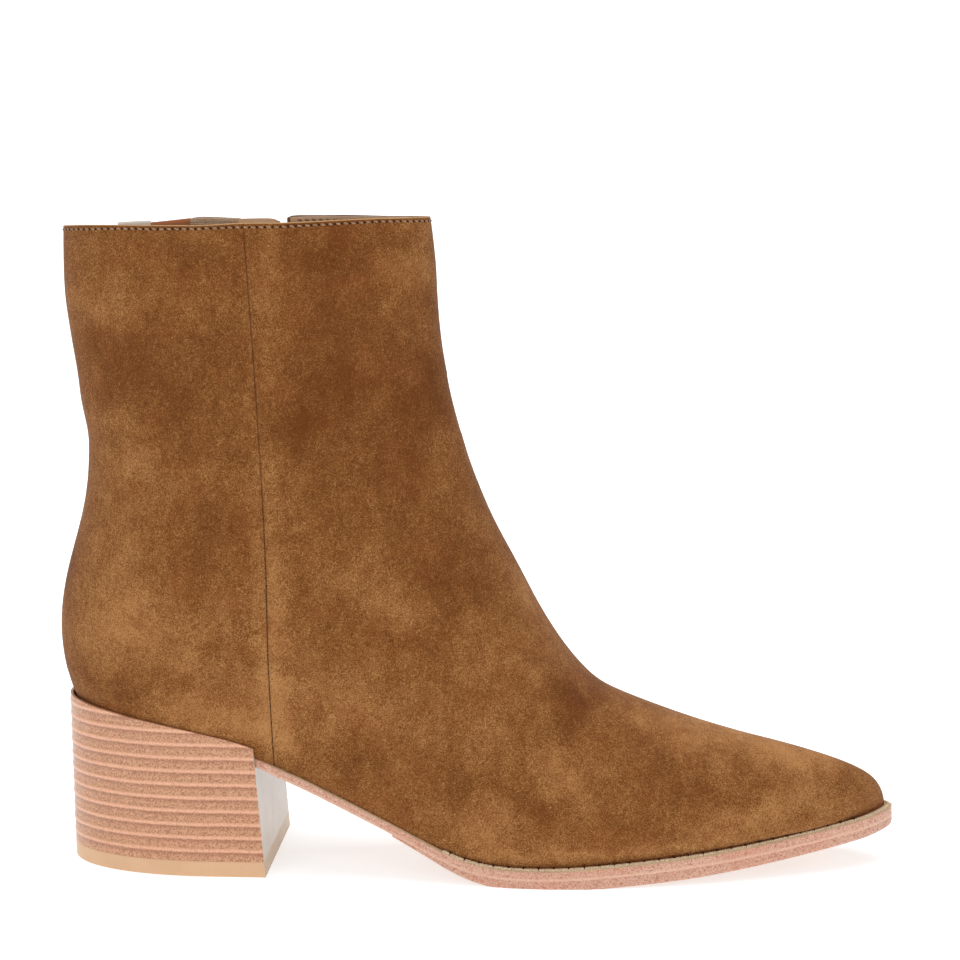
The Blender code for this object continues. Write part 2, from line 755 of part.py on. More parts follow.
def boolean(obj, operation, other):
    """Cut a piece with a form, or join the form to it."""
    modifier = obj.modifiers.new(other.name, "BOOLEAN")
    modifier.operation = operation
    modifier.object = other
    modifier.solver = "EXACT"


def new_collection(name):
    """Collection linked to the scene."""
    collection = bpy.data.collections.new(name)
    bpy.context.scene.collection.children.link(collection)
    return collection


def make_upper(parts, cutters, zip_line):
    """Suede shell with its wall and the slot for the zip."""
    upper = make_object("upper", upper_surface(), parts, SUEDE)
    shell = upper.modifiers.new("wall", "SOLIDIFY")
    shell.thickness = WALL * MM
    shell.offset = -1.0
    shell.use_quality_normals = True
    slot = zip_line.strip(ZIP_FOOT_Z, ZIP_CUT_TOP_Z, slot_half, -ZIP_CUT_DEPTH, ZIP_CUT_DEPTH)
    boolean(upper, "DIFFERENCE", make_object("zip_slot_cutter", slot, cutters))


def make_heel(parts, cutters):
    """Ribbed block cupped around the seat, on its lift."""
    heel = make_object("heel", build_heel_block(), parts, STACK)
    boolean(heel, "DIFFERENCE", make_object("lip_cutter", above_lip(), cutters))
    boolean(heel, "DIFFERENCE", make_object("upper_seat_cutter", upper_form(), cutters))
    midsole_seat = grow(build_midsole(), GAP)
    boolean(heel, "DIFFERENCE", make_object("midsole_seat_cutter", midsole_seat, cutters))
    make_object("top_lift", build_top_lift(), parts, LIFT)


def make_sole(parts):
    """Layers under the foot."""
    make_object("midsole", build_midsole(), parts, SOLE_EDGE)
    make_object("outsole", build_outsole(), parts, TREAD)
    make_object("insole", build_insole(), parts, SOCK)


def make_zip(parts, cutters, zip_line):
    """Closed zip behind its slot, with the slider at the top and the pull hanging from it."""
    tape_front = WALL * ZIP_SLANT + GAP
    tape_back = tape_front + ZIP_TAPE_THICK
    tape_foot = ZIP_FOOT_Z - ZIP_TAPE_TAIL
    tape = zip_line.strip(tape_foot, ZIP_TAPE_TOP_Z, tape_half, tape_front, tape_back)
    make_object("zip_tape", tape, parts, TAPE)
    teeth_back = tape_front - GAP
    teeth_top = SLIDER_TOP_Z - SLIDER_LENGTH - GAP
    teeth = zip_line.strip(
        ZIP_FOOT_Z + GAP, teeth_top, teeth_half, teeth_back - ZIP_TEETH_THICK, teeth_back
    )
    make_object("zip_teeth", teeth, parts, BRASS)

    place = zip_line.frame()
    slider = make_object("zip_slider", build_slider_body(), parts, BRASS, place)
    bridge = make_object("bridge_form", build_bridge(), cutters, place=place)
    opening = make_object("bridge_opening_cutter", build_bridge_opening(), cutters, place=place)
    boolean(bridge, "DIFFERENCE", opening)
    boolean(slider, "UNION", bridge)

    axis_y = SLIDER_FACE + BRIDGE_RISE / 2
    axis_z = BRIDGE_SPAN / 2 - PULL_AXIS_DROP
    axis = place @ Matrix.Translation((0.0, axis_y, axis_z))
    pull = make_object("zip_pull", build_pull(), parts, BRASS, axis)
    boolean(pull, "DIFFERENCE", make_object("pull_eye_cutter", build_pull_eye(), cutters, place=axis))


def main():
    """Clear the scene and build the bootie."""
    for obj in list(bpy.data.objects):
        bpy.data.objects.remove(obj, do_unlink=True)
    parts = new_collection("ankle_bootie")
    cutters = new_collection("cutters")
    surface = upper_surface()
    zip_line = ZipLine(surface)
    make_upper(parts, cutters, zip_line)
    make_sole(parts)
    make_heel(parts, cutters)
    make_zip(parts, cutters, zip_line)
    surface.free()


main()
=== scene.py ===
"""Looks of a pointed suede ankle bootie for the right foot.

Sizes are in millimetres in the last's frame: +X to the toe, +Y to the inner side of the foot, +Z up, with
the floor at 0. Each mesh is moved to the part's origin and scaled to metres as it is finished.
"""

from dataclasses import dataclass
from enum import Enum
import logging
import math
from typing import Callable, NamedTuple, Sequence

import bmesh
import bpy
import numpy as np
from mathutils import Matrix, Vector
from mathutils.bvhtree import BVHTree


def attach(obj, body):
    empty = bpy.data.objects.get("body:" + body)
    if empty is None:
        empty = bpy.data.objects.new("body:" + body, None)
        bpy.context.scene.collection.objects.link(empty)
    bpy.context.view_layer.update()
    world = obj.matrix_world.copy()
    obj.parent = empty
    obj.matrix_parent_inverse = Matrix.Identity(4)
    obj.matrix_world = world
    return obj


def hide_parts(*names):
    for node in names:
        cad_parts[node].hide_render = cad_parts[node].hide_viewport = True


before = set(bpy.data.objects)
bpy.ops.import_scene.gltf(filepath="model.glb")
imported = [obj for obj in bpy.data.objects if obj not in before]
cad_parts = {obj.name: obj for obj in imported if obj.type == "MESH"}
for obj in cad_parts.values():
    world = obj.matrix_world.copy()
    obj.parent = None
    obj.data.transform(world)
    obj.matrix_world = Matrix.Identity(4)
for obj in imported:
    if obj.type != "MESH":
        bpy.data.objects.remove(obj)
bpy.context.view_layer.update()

LOG = logging.getLogger("bootie")
MM = 0.001
GAP = 0.3
WELD = 0.002
PLAN_CENTRE = Vector((128.8, 2.8, 0.0))
IMAGE_SIDE = 960

Colour = tuple[float, float, float]
Numbers = np.ndarray | float
Form = bmesh.types.BMesh
Node = bpy.types.Node
Socket = bpy.types.NodeSocket


class Side(Enum):
    """Side of the foot, by the sign of Y."""

    LATERAL = -1
    MEDIAL = 1


class Body(Enum):
    """CAD body that a piece rides on."""

    BOOT = "boot"
    PULL = "pull_tab"


class Slot(Enum):
    """Material slot of the record."""

    SUEDE = "suede"
    INSOLE = "insole_leather"
    SOLE = "sole_leather"
    TREAD = "tread_rubber"
    STACK = "stacked_heel"
    LIFT = "lift_rubber"
    CLOTH = "zip_cloth"
    METAL = "zip_metal"


class Layer(Enum):
    """Painted layer that a mesh carries for its material."""

    BRUSH = "brush"
    SEAM = "seam"
    LIFT = "lift"
    BEAD = "bead"


class Outline(NamedTuple):
    """Half widths of the sole either side of its bent centre line, before the ends are rounded."""

    x: float
    lateral: float
    medial: float


class Feather(NamedTuple):
    """Height of the line where the upper meets the sole."""

    x: float
    z: float


class Ledge(NamedTuple):
    """How far the upper's lower edge stands inside the sole's edge."""

    x: float
    width: float


class Layers(NamedTuple):
    """Thickness of the sole's two layers."""

    x: float
    midsole: float
    outsole: float


class Section(NamedTuple):
    """Section of the last from its back point on the sole or heel to its front point on the ridge."""

    name: str
    front_x: float
    front_z: float
    back_x: float
    back_z: float | None
    seat: float | None
    lateral: float
    medial: float
    widest: float
    low_round: float
    front_round: float


class Edge(NamedTuple):
    """Point of a sole edge's profile: distance past the outline, share of the thickness down, strength of the
    painted highlight on the beaded ridge.
    """

    out: float
    share: float
    bead: float


class SeamPoint(NamedTuple):
    """Point of a seam on one side of the upper."""

    z: float
    x: float


class ZipPoint(NamedTuple):
    """Point of the zip's line, with half the width of its slot."""

    z: float
    x: float
    slot_half: float


class PanelPoint(NamedTuple):
    """Point of a panel's upper edge: how far it stands over the collar's edge."""

    x: float
    up: float


class RimPoint(NamedTuple):
    """How far the collar's edge stands up on the outer and the inner side."""

    x: float
    lateral: float
    medial: float


class NapLightShadeMark(NamedTuple):
    """Soft mark that lightens or darkens the suede, for strokes in the nap and for painted light and shade:
    its middle, half sizes, turn in degrees and strength.
    """

    x: float
    z: float
    long: float
    short: float
    turn: float
    strength: float


class Trough(NamedTuple):
    """Soft crease from one point to another, on both sides, sunk where its rise is negative."""

    x0: float
    z0: float
    x1: float
    z1: float
    half: float
    rise: float


def table_of(kind: type, *rows: tuple) -> tuple:
    """Rows of a table, each named by its kind."""
    return tuple(kind(*row) for row in rows)


OUTLINE = table_of(
    Outline,
    (-4, 27.5, 27.5), (45, 27.8, 27.2), (63, 27.6, 25), (85, 27.6, 20.6), (105, 29.2, 19.4),
    (125, 31.9, 23.6), (145, 34.2, 32), (158, 34.6, 37.2), (172, 33.8, 39.6), (188, 31.3, 38),
    (205, 27.6, 33.2), (220, 23.4, 27.4), (235, 18.6, 20.9), (248, 14, 15.2), (258, 9.9, 10.4),
    (263.2, 7.6, 7.8),
)
FEATHER_LINE = table_of(
    Feather,
    (-8, 51.9), (20, 47.8), (40, 44.2), (58, 39.7), (75, 32.7), (95, 23), (112, 14.8), (124, 9.3),
    (134, 6.8), (146, 6.1), (158, 6.4), (172, 7.4), (190, 8.7), (210, 10.7), (230, 13.3), (249, 16.2),
    (264, 18.6),
)
LEDGE = table_of(
    Ledge,
    (-4, 1.5), (60, 1.4), (80, 0.9), (112, 0.9), (140, 2.2), (263, 2.5),
)
LAYERS = table_of(
    Layers,
    (60, 2.7, 0.5), (104, 2.8, 0.5), (116, 3, 1), (128, 3.2, 2.2), (140, 3.4, 3.2), (200, 3.5, 3.2),
    (263, 3.6, 2.6),
)
SECTIONS = table_of(
    Section,
    ("toe edge", 261.6, 18.2, 238, None, None, 15.2, 17.3, 0.02, 1.4, 1.35),
    ("toe lip", 261.1, 21.2, 236, None, None, 16.2, 18.4, 0.05, 1.4, 1.45),
    ("toe nose", 259.3, 25.2, 232.5, None, None, 17.8, 20.2, 0.08, 1.4, 1.55),
    ("toe crown", 254, 29.6, 227.5, None, None, 19.8, 22.6, 0.12, 1.4, 1.65),
    ("toe box", 241, 34.6, 219.5, None, None, 22.6, 26.2, 0.16, 1.4, 1.75),
    ("toes", 222, 39.7, 206.5, None, None, 26.6, 31.6, 0.2, 1.4, 1.85),
    ("joints", 203, 44.7, 191.5, None, None, 30.2, 36.2, 0.24, 1.4, 1.9),
    ("ball", 184, 51.3, 175, None, None, 33.2, 38.6, 0.27, 1.4, 1.9),
    ("vamp", 168.5, 59, 157, None, None, 34.2, 37, 0.29, 1.4, 1.9),
    ("bend", 157.5, 70.6, 137, None, None, 33.6, 33.2, 0.31, 1.4, 1.9),
    ("instep", 149.2, 83.8, 116, None, None, 32.4, 29.8, 0.33, 1.4, 1.9),
    ("high instep", 141.8, 97.8, 94, None, None, 31.2, 28.4, 0.34, 1.4, 1.95),
    ("waist", 135.1, 110.3, 71, None, None, 30.4, 28.6, 0.35, 1.4, 2),
    ("seat front", 130.2, 121.4, 49, None, None, 30, 29.4, 0.36, 1.4, 2),
    ("seat", 126.4, 131.8, 25, None, None, 29.8, 29.6, 0.37, 1.4, 2),
    ("seat back", 123.7, 141, 6, None, None, 29.8, 29.6, 0.38, 1.45, 2),
    ("heel edge", 121.7, 148.6, -1.8, 51.1, 26, 29.6, 29.5, 0.39, 1.5, 2),
    ("heel", 119.9, 156.8, -4.8, 63, 27, 29.4, 29.3, 0.4, 1.6, 2),
    ("heel curve", 118.4, 165, -6, 78, 27.6, 29, 29, 0.41, 1.7, 2),
    ("counter", 117.4, 172.8, -2.8, 97, 27.4, 28.4, 28.4, 0.42, 1.8, 2),
    ("ankle", 116.8, 180, 1.8, 113.5, 26.8, 27.6, 27.6, 0.43, 1.9, 2),
    ("back curve", 116.4, 186.6, 4, 128, 26, 26.8, 26.8, 0.44, 2, 2),
    ("low shaft", 116, 192.6, 3.2, 145, 25.1, 25.9, 25.9, 0.45, 2, 2),
    ("shaft", 115.5, 198, 0.6, 163, 24.2, 25, 25, 0.46, 2, 2),
    ("high shaft", 115, 203.2, -2, 184, 23.3, 24, 24, 0.47, 2, 2),
    ("collar", 114.4, 207.6, -2.1, 204.6, 22.4, 23, 23, 0.48, 2, 2),
)
MIDSOLE_EDGE = table_of(
    Edge,
    (-4.5, 0, 0), (-0.85, 0, 0), (-0.36, 0.05, 0), (-0.09, 0.13, 0.1), (0, 0.24, 0), (0.02, 0.44, 0),
    (0.02, 0.66, 0), (0.05, 0.74, 0.5), (0.14, 0.81, 1), (0.18, 0.88, 1), (0.16, 0.95, 0.8),
    (0.1, 1, 0.3), (-4.5, 1, 0),
)
OUTSOLE_EDGE = table_of(
    Edge,
    (-4.5, 0, 0), (0.04, 0, 0.2), (0.06, 0.07, 0), (0.1, 0.22, 0), (0.1, 0.5, 0), (0, 0.72, 0),
    (-0.25, 0.9, 0), (-0.7, 1, 0), (-4.5, 1, 0),
)
SIDE_SEAM = table_of(
    SeamPoint,
    (36, 66.5), (54, 66), (71, 65.5), (96, 65.2), (121, 64.3), (152, 62.6), (182, 60.5), (215, 58),
)
INNER_SEAM = table_of(
    SeamPoint,
    (30, 65.6), (52, 65.7), (73.5, 65.7),
)
ZIP_LINE = table_of(
    ZipPoint,
    (74, 65.7, 3.6), (121, 65.6, 3.6), (182, 65.2, 3.6), (201.2, 64.9, 3.6), (204.5, 64.8, 1.2),
    (225, 64.5, 1.2),
)
PATCH_TOP = table_of(
    PanelPoint,
    (20.8, 0.1), (26, 0.45), (33, 1.05), (34.5, 1.1),
)
WOVEN_TOP = table_of(
    PanelPoint,
    (34.2, 0.6), (35, 1.3), (38, 1.5), (42, 1.35), (47, 1), (51, 0.7), (51.8, 0),
)
GUARD_TOP = table_of(
    PanelPoint,
    (50, 0.55), (58, 0.55), (61.6, 0.4), (63.2, -0.1), (63.9, -1), (66, -3.4), (70, -4.4), (77, -4.8),
)
TAB_TOP = table_of(
    PanelPoint,
    (10.8, 0.55), (20.4, 0.8), (21.2, 0.7),
)
RIM_LIFT = table_of(
    RimPoint,
    (-2, 0.3, -0.1), (9, 0.31, -0.75), (20, 0.32, -0.7), (33, -0.08, -0.2), (45, -0.28, 0),
    (55, -0.12, 0), (61.4, -0.22, 0), (63.6, -0.26, -0.9), (66, -0.3, 0.35), (67, -0.31, 0.95),
    (69, -0.32, 1.15), (75, -0.2, 1.1), (85, 0.05, 0.95), (100, 0.42, 0.5), (114, 0, 0),
)
# Most marks are strokes in the nap; some are painted light and shade: a lighter top of the toe, and darker
# strips along the shaft's front edge and the back of the heel.
NAP_LIGHT_AND_SHADE_MARKS = table_of(
    NapLightShadeMark,
    (18, 83, 14, 11, 60, 0.72), (42, 74, 13, 7, 60, 0.4), (67.5, 196, 12, 2.8, 90, 0.42),
    (20, 74, 30, 9, -14, 0.16), (62, 125, 90, 1.9, 91.5, 0.3), (67, 120, 90, 2.6, 91.5, 0.38),
    (66, 70, 30, 4.5, 90, 0.25), (52, 51, 24, 6, -12, 0.78), (68, 62, 12, 10, 80, 0.4),
    (100, 92, 14, 7, -35, 0.5), (108, 190, 13, 7, 60, 0.5), (12, 182, 14, 6, -8, 0.5),
    (22, 131, 12, 5, -20, 0.38), (14, 143, 10, 4, -10, 0.32), (18, 112, 12, 9, 80, 0.3),
    (96, 55, 18, 9, -20, 0.28), (134, 72, 16, 8, -35, 0.28), (158, 33, 10, 5, -55, 0.55),
    (130, 21, 13, 7, -10, 0.5), (216, 40.5, 17, 4, -14, 0.7), (240, 35.5, 16, 3.4, -17, 0.8),
    (190, 47, 14, 3, -18, 0.42), (172, 11, 46, 2, 3, 0.5), (226, 29, 36, 15, -8, 0.24),
    (142, 12.5, 20, 3.5, -4, 0.3), (148, 84, 34, 2, -58, 0.38), (228, 24, 12, 4, 12, 0.3),
    (214, 21, 15, 4, 10, 0.34), (84, 122, 18, 10, 60, 0.1), (88, 156, 17, 11, 55, -0.46),
    (73, 145, 9, 8, 0, -0.42), (88, 178, 34, 17, 80, -0.26), (70, 150, 62, 50, 85, -0.2),
    (26, 164, 24, 15, 15, -0.12), (113, 152, 30, 6, 87, -0.5), (84, 197, 20, 9, 0, -0.42),
    (46, 196, 18, 8, 10, -0.3), (17, 164, 11, 9, 60, -0.34), (34, 155, 14, 7, -20, -0.42),
    (45, 107, 13, 11, 40, -0.42), (128, 92, 13, 8, 60, -0.42), (100, 128, 32, 16, 70, -0.32),
    (118, 102, 20, 9, 60, -0.28), (108, 77, 14, 4, -8, -0.36), (162, 56, 9, 6.5, -40, -0.75),
    (196, 34, 22, 6, -8, -0.16), (-1, 90, 16, 2.4, 95, -0.55), (150, 27, 8, 6, 20, -0.45),
    (97, 38, 9, 6, -30, -0.45), (126, 32, 10, 6, 10, -0.4), (206, 29, 15, 6, 0, -0.34),
    (182, 21, 20, 6, 5, -0.28), (247, 28, 9, 5, 0, -0.38), (38, 63, 6, 4, 60, -0.45),
    (12, 61, 14, 5, -15, -0.4),
)
TROUGHS = table_of(
    Trough,
    (113, 128, 88, 138, 9, -0.55), (118, 112, 92, 96, 8, 0.4), (140, 82, 104, 76, 6, -0.4),
    (4, 138, 30, 127, 6, -0.4), (3, 150, 26, 142, 6, 0.35), (166, 54, 150, 30, 7, -0.45),
    (162, 38, 150, 22, 5, 0.35), (6, 184, 30, 177, 7, 0.4), (110, 194, 100, 180, 7, 0.35),
    (36, 66, 50, 57, 5, -0.3), (92, 160, 80, 146, 9, -0.4), (215, 34, 190, 30, 8, -0.3),
)


def tint(red: int, green: int, blue: int) -> Colour:
    """Linear colour of a screen colour.

    Args:
        red: Red from 0 to 255.
        green: Green from 0 to 255.
        blue: Blue from 0 to 255.

    Returns:
        The three linear values.
    """
    shares = (red / 255, green / 255, blue / 255)
    return tuple(c / 12.92 if c < 11 / 255 else ((c + 0.055) / 1.055) ** 2.4 for c in shares)


class Spline:
    """Natural cubic curve through the values of one column of a table."""

    def __init__(self, knots: Sequence[float], values: Sequence[float]) -> None:
        """Solve for the curve's bends.

        Args:
            knots: Places of the values, rising.
            values: Values at those places.
        """
        self.knots = np.asarray(knots, dtype=float)
        self.values = np.asarray(values, dtype=float)
        step = np.diff(self.knots)
        slope = np.diff(self.values) / step
        count = len(self.knots)
        system = np.eye(count)
        target = np.zeros(count)
        for i in range(1, count - 1):
            system[i, i - 1 : i + 2] = (step[i - 1], 2 * (step[i - 1] + step[i]), step[i])
            target[i] = 6 * (slope[i] - slope[i - 1])
        self.bend = np.linalg.solve(system, target)

    def __call__(self, at: Numbers) -> np.ndarray:
        """Read the curve.

        Args:
            at: Places to read, held inside the table.

        Returns:
            The values there.
        """
        at = np.clip(at, self.knots[0], self.knots[-1])
        i = np.clip(np.searchsorted(self.knots, at) - 1, 0, len(self.knots) - 2)
        step = self.knots[i + 1] - self.knots[i]
        ahead = (self.knots[i + 1] - at) / step
        behind = 1 - ahead
        cubic = (ahead**3 - ahead) * self.bend[i] + (behind**3 - behind) * self.bend[i + 1]
        return ahead * self.values[i] + behind * self.values[i + 1] + cubic * step**2 / 6


def column(table: Sequence[NamedTuple], name: str) -> list[float]:
    """Values of one named column of a table."""
    return [getattr(row, name) for row in table]


def straight(table: Sequence[NamedTuple], name: str, at: Numbers) -> np.ndarray:
    """Read a table along straight lines between its rows.

    Args:
        table: Rows, rising in their first column.
        name: Name of the column to read.
        at: Places in the first column.

    Returns:
        The values there.
    """
    return np.interp(at, [row[0] for row in table], column(table, name))


def rounding(distance: Numbers, length: float, power: float) -> np.ndarray:
    """Share of a half width that is left near a rounded end.

    Args:
        distance: Distance from the end.
        length: Length over which the end is rounded.
        power: Fullness of the end.

    Returns:
        Shares from 0 to 1.
    """
    left = np.clip(1 - distance / length, 0, 1)
    return (1 - left**power) ** (1 / power)


def running(points: np.ndarray) -> np.ndarray:
    """Distance of each point of a line from its start."""
    return np.concatenate(([0.0], np.cumsum(np.linalg.norm(np.diff(points, axis=0), axis=1))))


def evenly(points: np.ndarray, count: int, crowding: float = 0.0) -> np.ndarray:
    """Resample a line of points along its length.

    Args:
        points: Line to resample.
        count: Number of steps.
        crowding: How much shorter the steps are at the ends and the middle.

    Returns:
        The new points.
    """
    length = running(points)
    step = np.linspace(0.0, 1.0, count + 1)
    turn = 4 * math.pi
    at = length[-1] * (step - crowding * np.sin(turn * step) / turn)
    return np.column_stack([np.interp(at, length, points[:, k]) for k in range(points.shape[1])])


@dataclass
class Last:
    """Form that the upper is pulled over and the sole is cut to."""

    sole_back: float = -3.4
    sole_tip: float = 263.2
    heel_length: float = 50.0
    heel_power: float = 2.2
    toe_length: float = 12.0
    toe_power: float = 2.0
    toe_swing: float = 3.0
    swing_start: float = 120.0
    toe_inset: float = 2.6
    section_steps: int = 120
    ridge_steps: int = 1501
    crowding: float = 0.5

    def __post_init__(self) -> None:
        """Make the curves of the tables."""
        self.closed_from = column(SECTIONS, "name").index("heel edge")
        self.half = {side: Spline(column(OUTLINE, "x"), column(OUTLINE, side.name.lower())) for side in Side}
        self.feather_z = Spline(column(FEATHER_LINE, "x"), column(FEATHER_LINE, "z"))
        numbers = np.arange(len(SECTIONS))
        seat = self.closed_from
        upright = SECTIONS[seat:]
        self.back_x = Spline(column(upright, "back_z"), column(upright, "back_x"))
        self.foot_x = Spline(numbers[: seat + 1], column(SECTIONS, "back_x")[: seat + 1])
        self.tracks = {
            name: Spline(numbers[seat:], column(upright, name))
            if name in ("back_z", "seat")
            else Spline(numbers, column(SECTIONS, name))
            for name in Section._fields[1:]
            if name != "back_x"
        }

    def swing(self, x: Numbers) -> np.ndarray:
        """Bend of the centre line towards the big toe."""
        run = np.clip((x - self.swing_start) / (self.sole_tip - self.swing_start), 0, 1)
        return self.toe_swing * run**2

    def half_width(self, x: np.ndarray, side: Side, inset: Numbers, back: float, tip: float) -> np.ndarray:
        """Half width of the sole's outline, set in from its edge and closed at both ends.

        Args:
            x: Places along the sole.
            side: Side of the foot.
            inset: Distance in from the edge.
            back: Back end of the outline.
            tip: Front end of the outline.

        Returns:
            Half widths from the centre line.
        """
        heel = rounding(x - back, self.heel_length, self.heel_power)
        toe = rounding(tip - x, self.toe_length, self.toe_power)
        return (self.half[side](x) - inset) * heel * toe

    def feather_half(self, x: float, side: Side) -> float:
        """Half width of the upper's lower edge, before the heel is rounded."""
        width = self.half[side](x) - straight(LEDGE, "width", x)
        return float(width * rounding(self.sole_tip - self.toe_inset - x, self.toe_length, self.toe_power))

    def back_point(self, at: float) -> tuple[float, float]:
        """Back or bottom point of a section, as X and Z."""
        if at < self.closed_from:
            x = float(self.foot_x(at))
            return x, float(self.feather_z(x))
        z = float(self.tracks["back_z"](at))
        return float(self.back_x(z)), z

    def section(self, at: float, count: int) -> np.ndarray:
        """Points of one section, from the outer lower edge over the ridge to the inner one.

        Args:
            at: Number of the section, between rows of the table too.
            count: Number of steps along it.

        Returns:
            Points of the section.
        """
        row = {name: float(track(at)) for name, track in self.tracks.items()}
        start_x, start_z = self.back_point(at)
        quarter = np.linspace(0.0, math.pi / 2, self.section_steps)
        lower = 2 / row["low_round"]
        upper = 2 / row["front_round"]
        low_share = row["widest"] * (1 - np.cos(quarter).clip(0) ** lower)
        high_share = row["widest"] + (1 - row["widest"]) * np.sin(quarter[1:]) ** upper
        share = np.concatenate((low_share, high_share))
        x = start_x + share * (row["front_x"] - start_x)
        z = start_z + share * (row["front_z"] - start_z)
        heel = rounding(x - self.back_x(z), self.heel_length, self.heel_power)
        halves = {}
        for side in Side:
            edge = row["seat"] if at >= self.closed_from else self.feather_half(start_x, side)
            widest = max(row[side.name.lower()], edge)
            low_y = edge + (widest - edge) * np.sin(quarter) ** lower
            high_y = widest * np.cos(quarter[1:]).clip(0) ** upper
            y = side.value * np.concatenate((low_y, high_y)) * heel + self.swing(x)
            halves[side] = np.column_stack((x, y, z))
        line = np.concatenate((halves[Side.LATERAL], halves[Side.MEDIAL][-2::-1]))
        return evenly(line, count, self.crowding)

    def section_numbers(self, step: float) -> np.ndarray:
        """Section numbers that lie about a step apart along the ridge or the sole.

        Args:
            step: Longest step between sections.

        Returns:
            The numbers, rising.
        """
        fine = np.linspace(0, len(SECTIONS) - 1, self.ridge_steps)
        front = np.column_stack((self.tracks["front_x"](fine), self.tracks["front_z"](fine)))
        back = np.array([self.back_point(at) for at in fine])
        longest = [np.linalg.norm(np.diff(line, axis=0), axis=1) for line in (front, back)]
        length = np.concatenate(([0.0], np.cumsum(np.maximum(*longest))))
        return np.interp(np.linspace(0, length[-1], int(length[-1] / step) + 1), length, fine)

    def rim_z(self, x: Numbers) -> np.ndarray:
        """Height of the collar's edge, read off its section from back to front."""
        rim = SECTIONS[-1]
        return rim.back_z + (x - rim.back_x) * (rim.front_z - rim.back_z) / (rim.front_x - rim.back_x)


class Bench:
    """Lays nodes into one tree and joins them."""

    def __init__(self, tree: bpy.types.NodeTree) -> None:
        """Take the tree to work on."""
        self.tree = tree

    def node(self, kind: str, **settings: object) -> Node:
        """Add a node.

        Args:
            kind: Blender's name of the node.
            settings: Properties to set on it.

        Returns:
            The node.
        """
        made = self.tree.nodes.new(kind)
        for name, value in settings.items():
            setattr(made, name, value)
        return made

    def feed(self, socket: Socket, source: object) -> None:
        """Join a socket to an input, or set the input to a value."""
        if isinstance(source, Socket):
            self.tree.links.new(source, socket)
        else:
            socket.default_value = source

    def fill(self, made: Node, values: dict[str, object]) -> None:
        """Feed several inputs of a node by their names."""
        for name, value in values.items():
            self.feed(made.inputs[name], value)

    def math(self, operation: str, *values: object, clamp: bool = False) -> Socket:
        """Work out a number.

        Args:
            operation: Blender's name of the operation.
            values: Sockets or numbers that go in.
            clamp: Whether the result stays from 0 to 1.

        Returns:
            The result's socket.
        """
        made = self.node("ShaderNodeMath", operation=operation, use_clamp=clamp)
        for socket, value in zip(made.inputs, values):
            self.feed(socket, value)
        return made.outputs[0]

    def span(self, value: object, low: float, high: float, to_low: float, to_high: float) -> Socket:
        """Bring a number from one range to another, held inside it.

        Args:
            value: Socket to read.
            low: Start of its range.
            high: End of its range.
            to_low: Result at the start.
            to_high: Result at the end.

        Returns:
            The result's socket.
        """
        made = self.node("ShaderNodeMapRange", clamp=True)
        for socket, number in zip(made.inputs, (value, low, high, to_low, to_high)):
            self.feed(socket, number)
        return made.outputs[0]

    def mix(self, share: object, first: object, second: object) -> Socket:
        """Blend two colours.

        Args:
            share: Share of the second one.
            first: First colour or its socket.
            second: Second colour or its socket.

        Returns:
            The colour's socket.
        """
        made = self.node("ShaderNodeMix", data_type="RGBA")
        for index, value in ((0, share), (6, first), (7, second)):
            self.feed(made.inputs[index], (*value, 1.0) if isinstance(value, tuple) else value)
        return made.outputs[2]

    def noise(self, vector: object, scale: object, detail: float, distortion: float = 0.0) -> Socket:
        """Add a noise pattern.

        Args:
            vector: Socket of the coordinates.
            scale: Number of features in a metre.
            detail: Number of finer layers.
            distortion: How much the pattern swirls.

        Returns:
            Socket of its value.
        """
        made = self.node("ShaderNodeTexNoise")
        self.fill(made, {"Vector": vector, "Scale": scale, "Detail": detail, "Distortion": distortion})
        return made.outputs["Fac"]

    def ramp(self, value: object, stops: Sequence[tuple[float, Colour]]) -> Socket:
        """Turn a number into a colour.

        Args:
            value: Socket to read.
            stops: Places and colours, rising.

        Returns:
            The colour's socket.
        """
        made = self.node("ShaderNodeValToRGB")
        elements = made.color_ramp.elements
        while len(elements) < len(stops):
            elements.new(0.5)
        for element, (place, colour) in zip(elements, stops):
            element.position = place
            element.color = (*colour, 1.0)
        self.feed(made.inputs[0], value)
        return made.outputs[0]

    def place(self, stretch: Colour = (1.0, 1.0, 1.0), turn: Colour = (0.0, 0.0, 0.0)) -> Socket:
        """Object coordinates, stretched and turned.

        Args:
            stretch: Scale along each axis.
            turn: Turn about each axis, in degrees.

        Returns:
            Socket of the coordinates.
        """
        made = self.node("ShaderNodeMapping")
        turned = [math.radians(angle) for angle in turn]
        source = self.node("ShaderNodeTexCoord").outputs["Object"]
        self.fill(made, {"Scale": stretch, "Rotation": turned, "Vector": source})
        return made.outputs[0]

    def painted(self, layer: Layer) -> Socket:
        """Value of a painted layer of the mesh."""
        return self.node("ShaderNodeAttribute", attribute_name=layer.value).outputs["Fac"]

    def bump(self, height: object, depth: float, strength: float = 1.0) -> Socket:
        """Normal of a fine relief.

        Args:
            height: Socket of the relief.
            depth: Depth in millimetres.
            strength: Share of the relief that shows.

        Returns:
            Socket of the normal.
        """
        made = self.node("ShaderNodeBump")
        self.fill(made, {"Strength": strength, "Distance": depth * MM, "Height": height})
        return made.outputs[0]

    def group(self, tree: bpy.types.NodeTree, **values: object) -> Node:
        """Place an effect.

        Args:
            tree: Node group of the effect.
            values: Sockets or numbers for its inputs.

        Returns:
            The group's node.
        """
        made = self.node("ShaderNodeGroup", node_tree=tree)
        self.fill(made, values)
        return made

    def dress(self, shader: Node, colour: object, normal: object) -> None:
        """Give a shader its colour and its relief."""
        self.fill(shader, {"Base Color": colour, "Normal": normal})


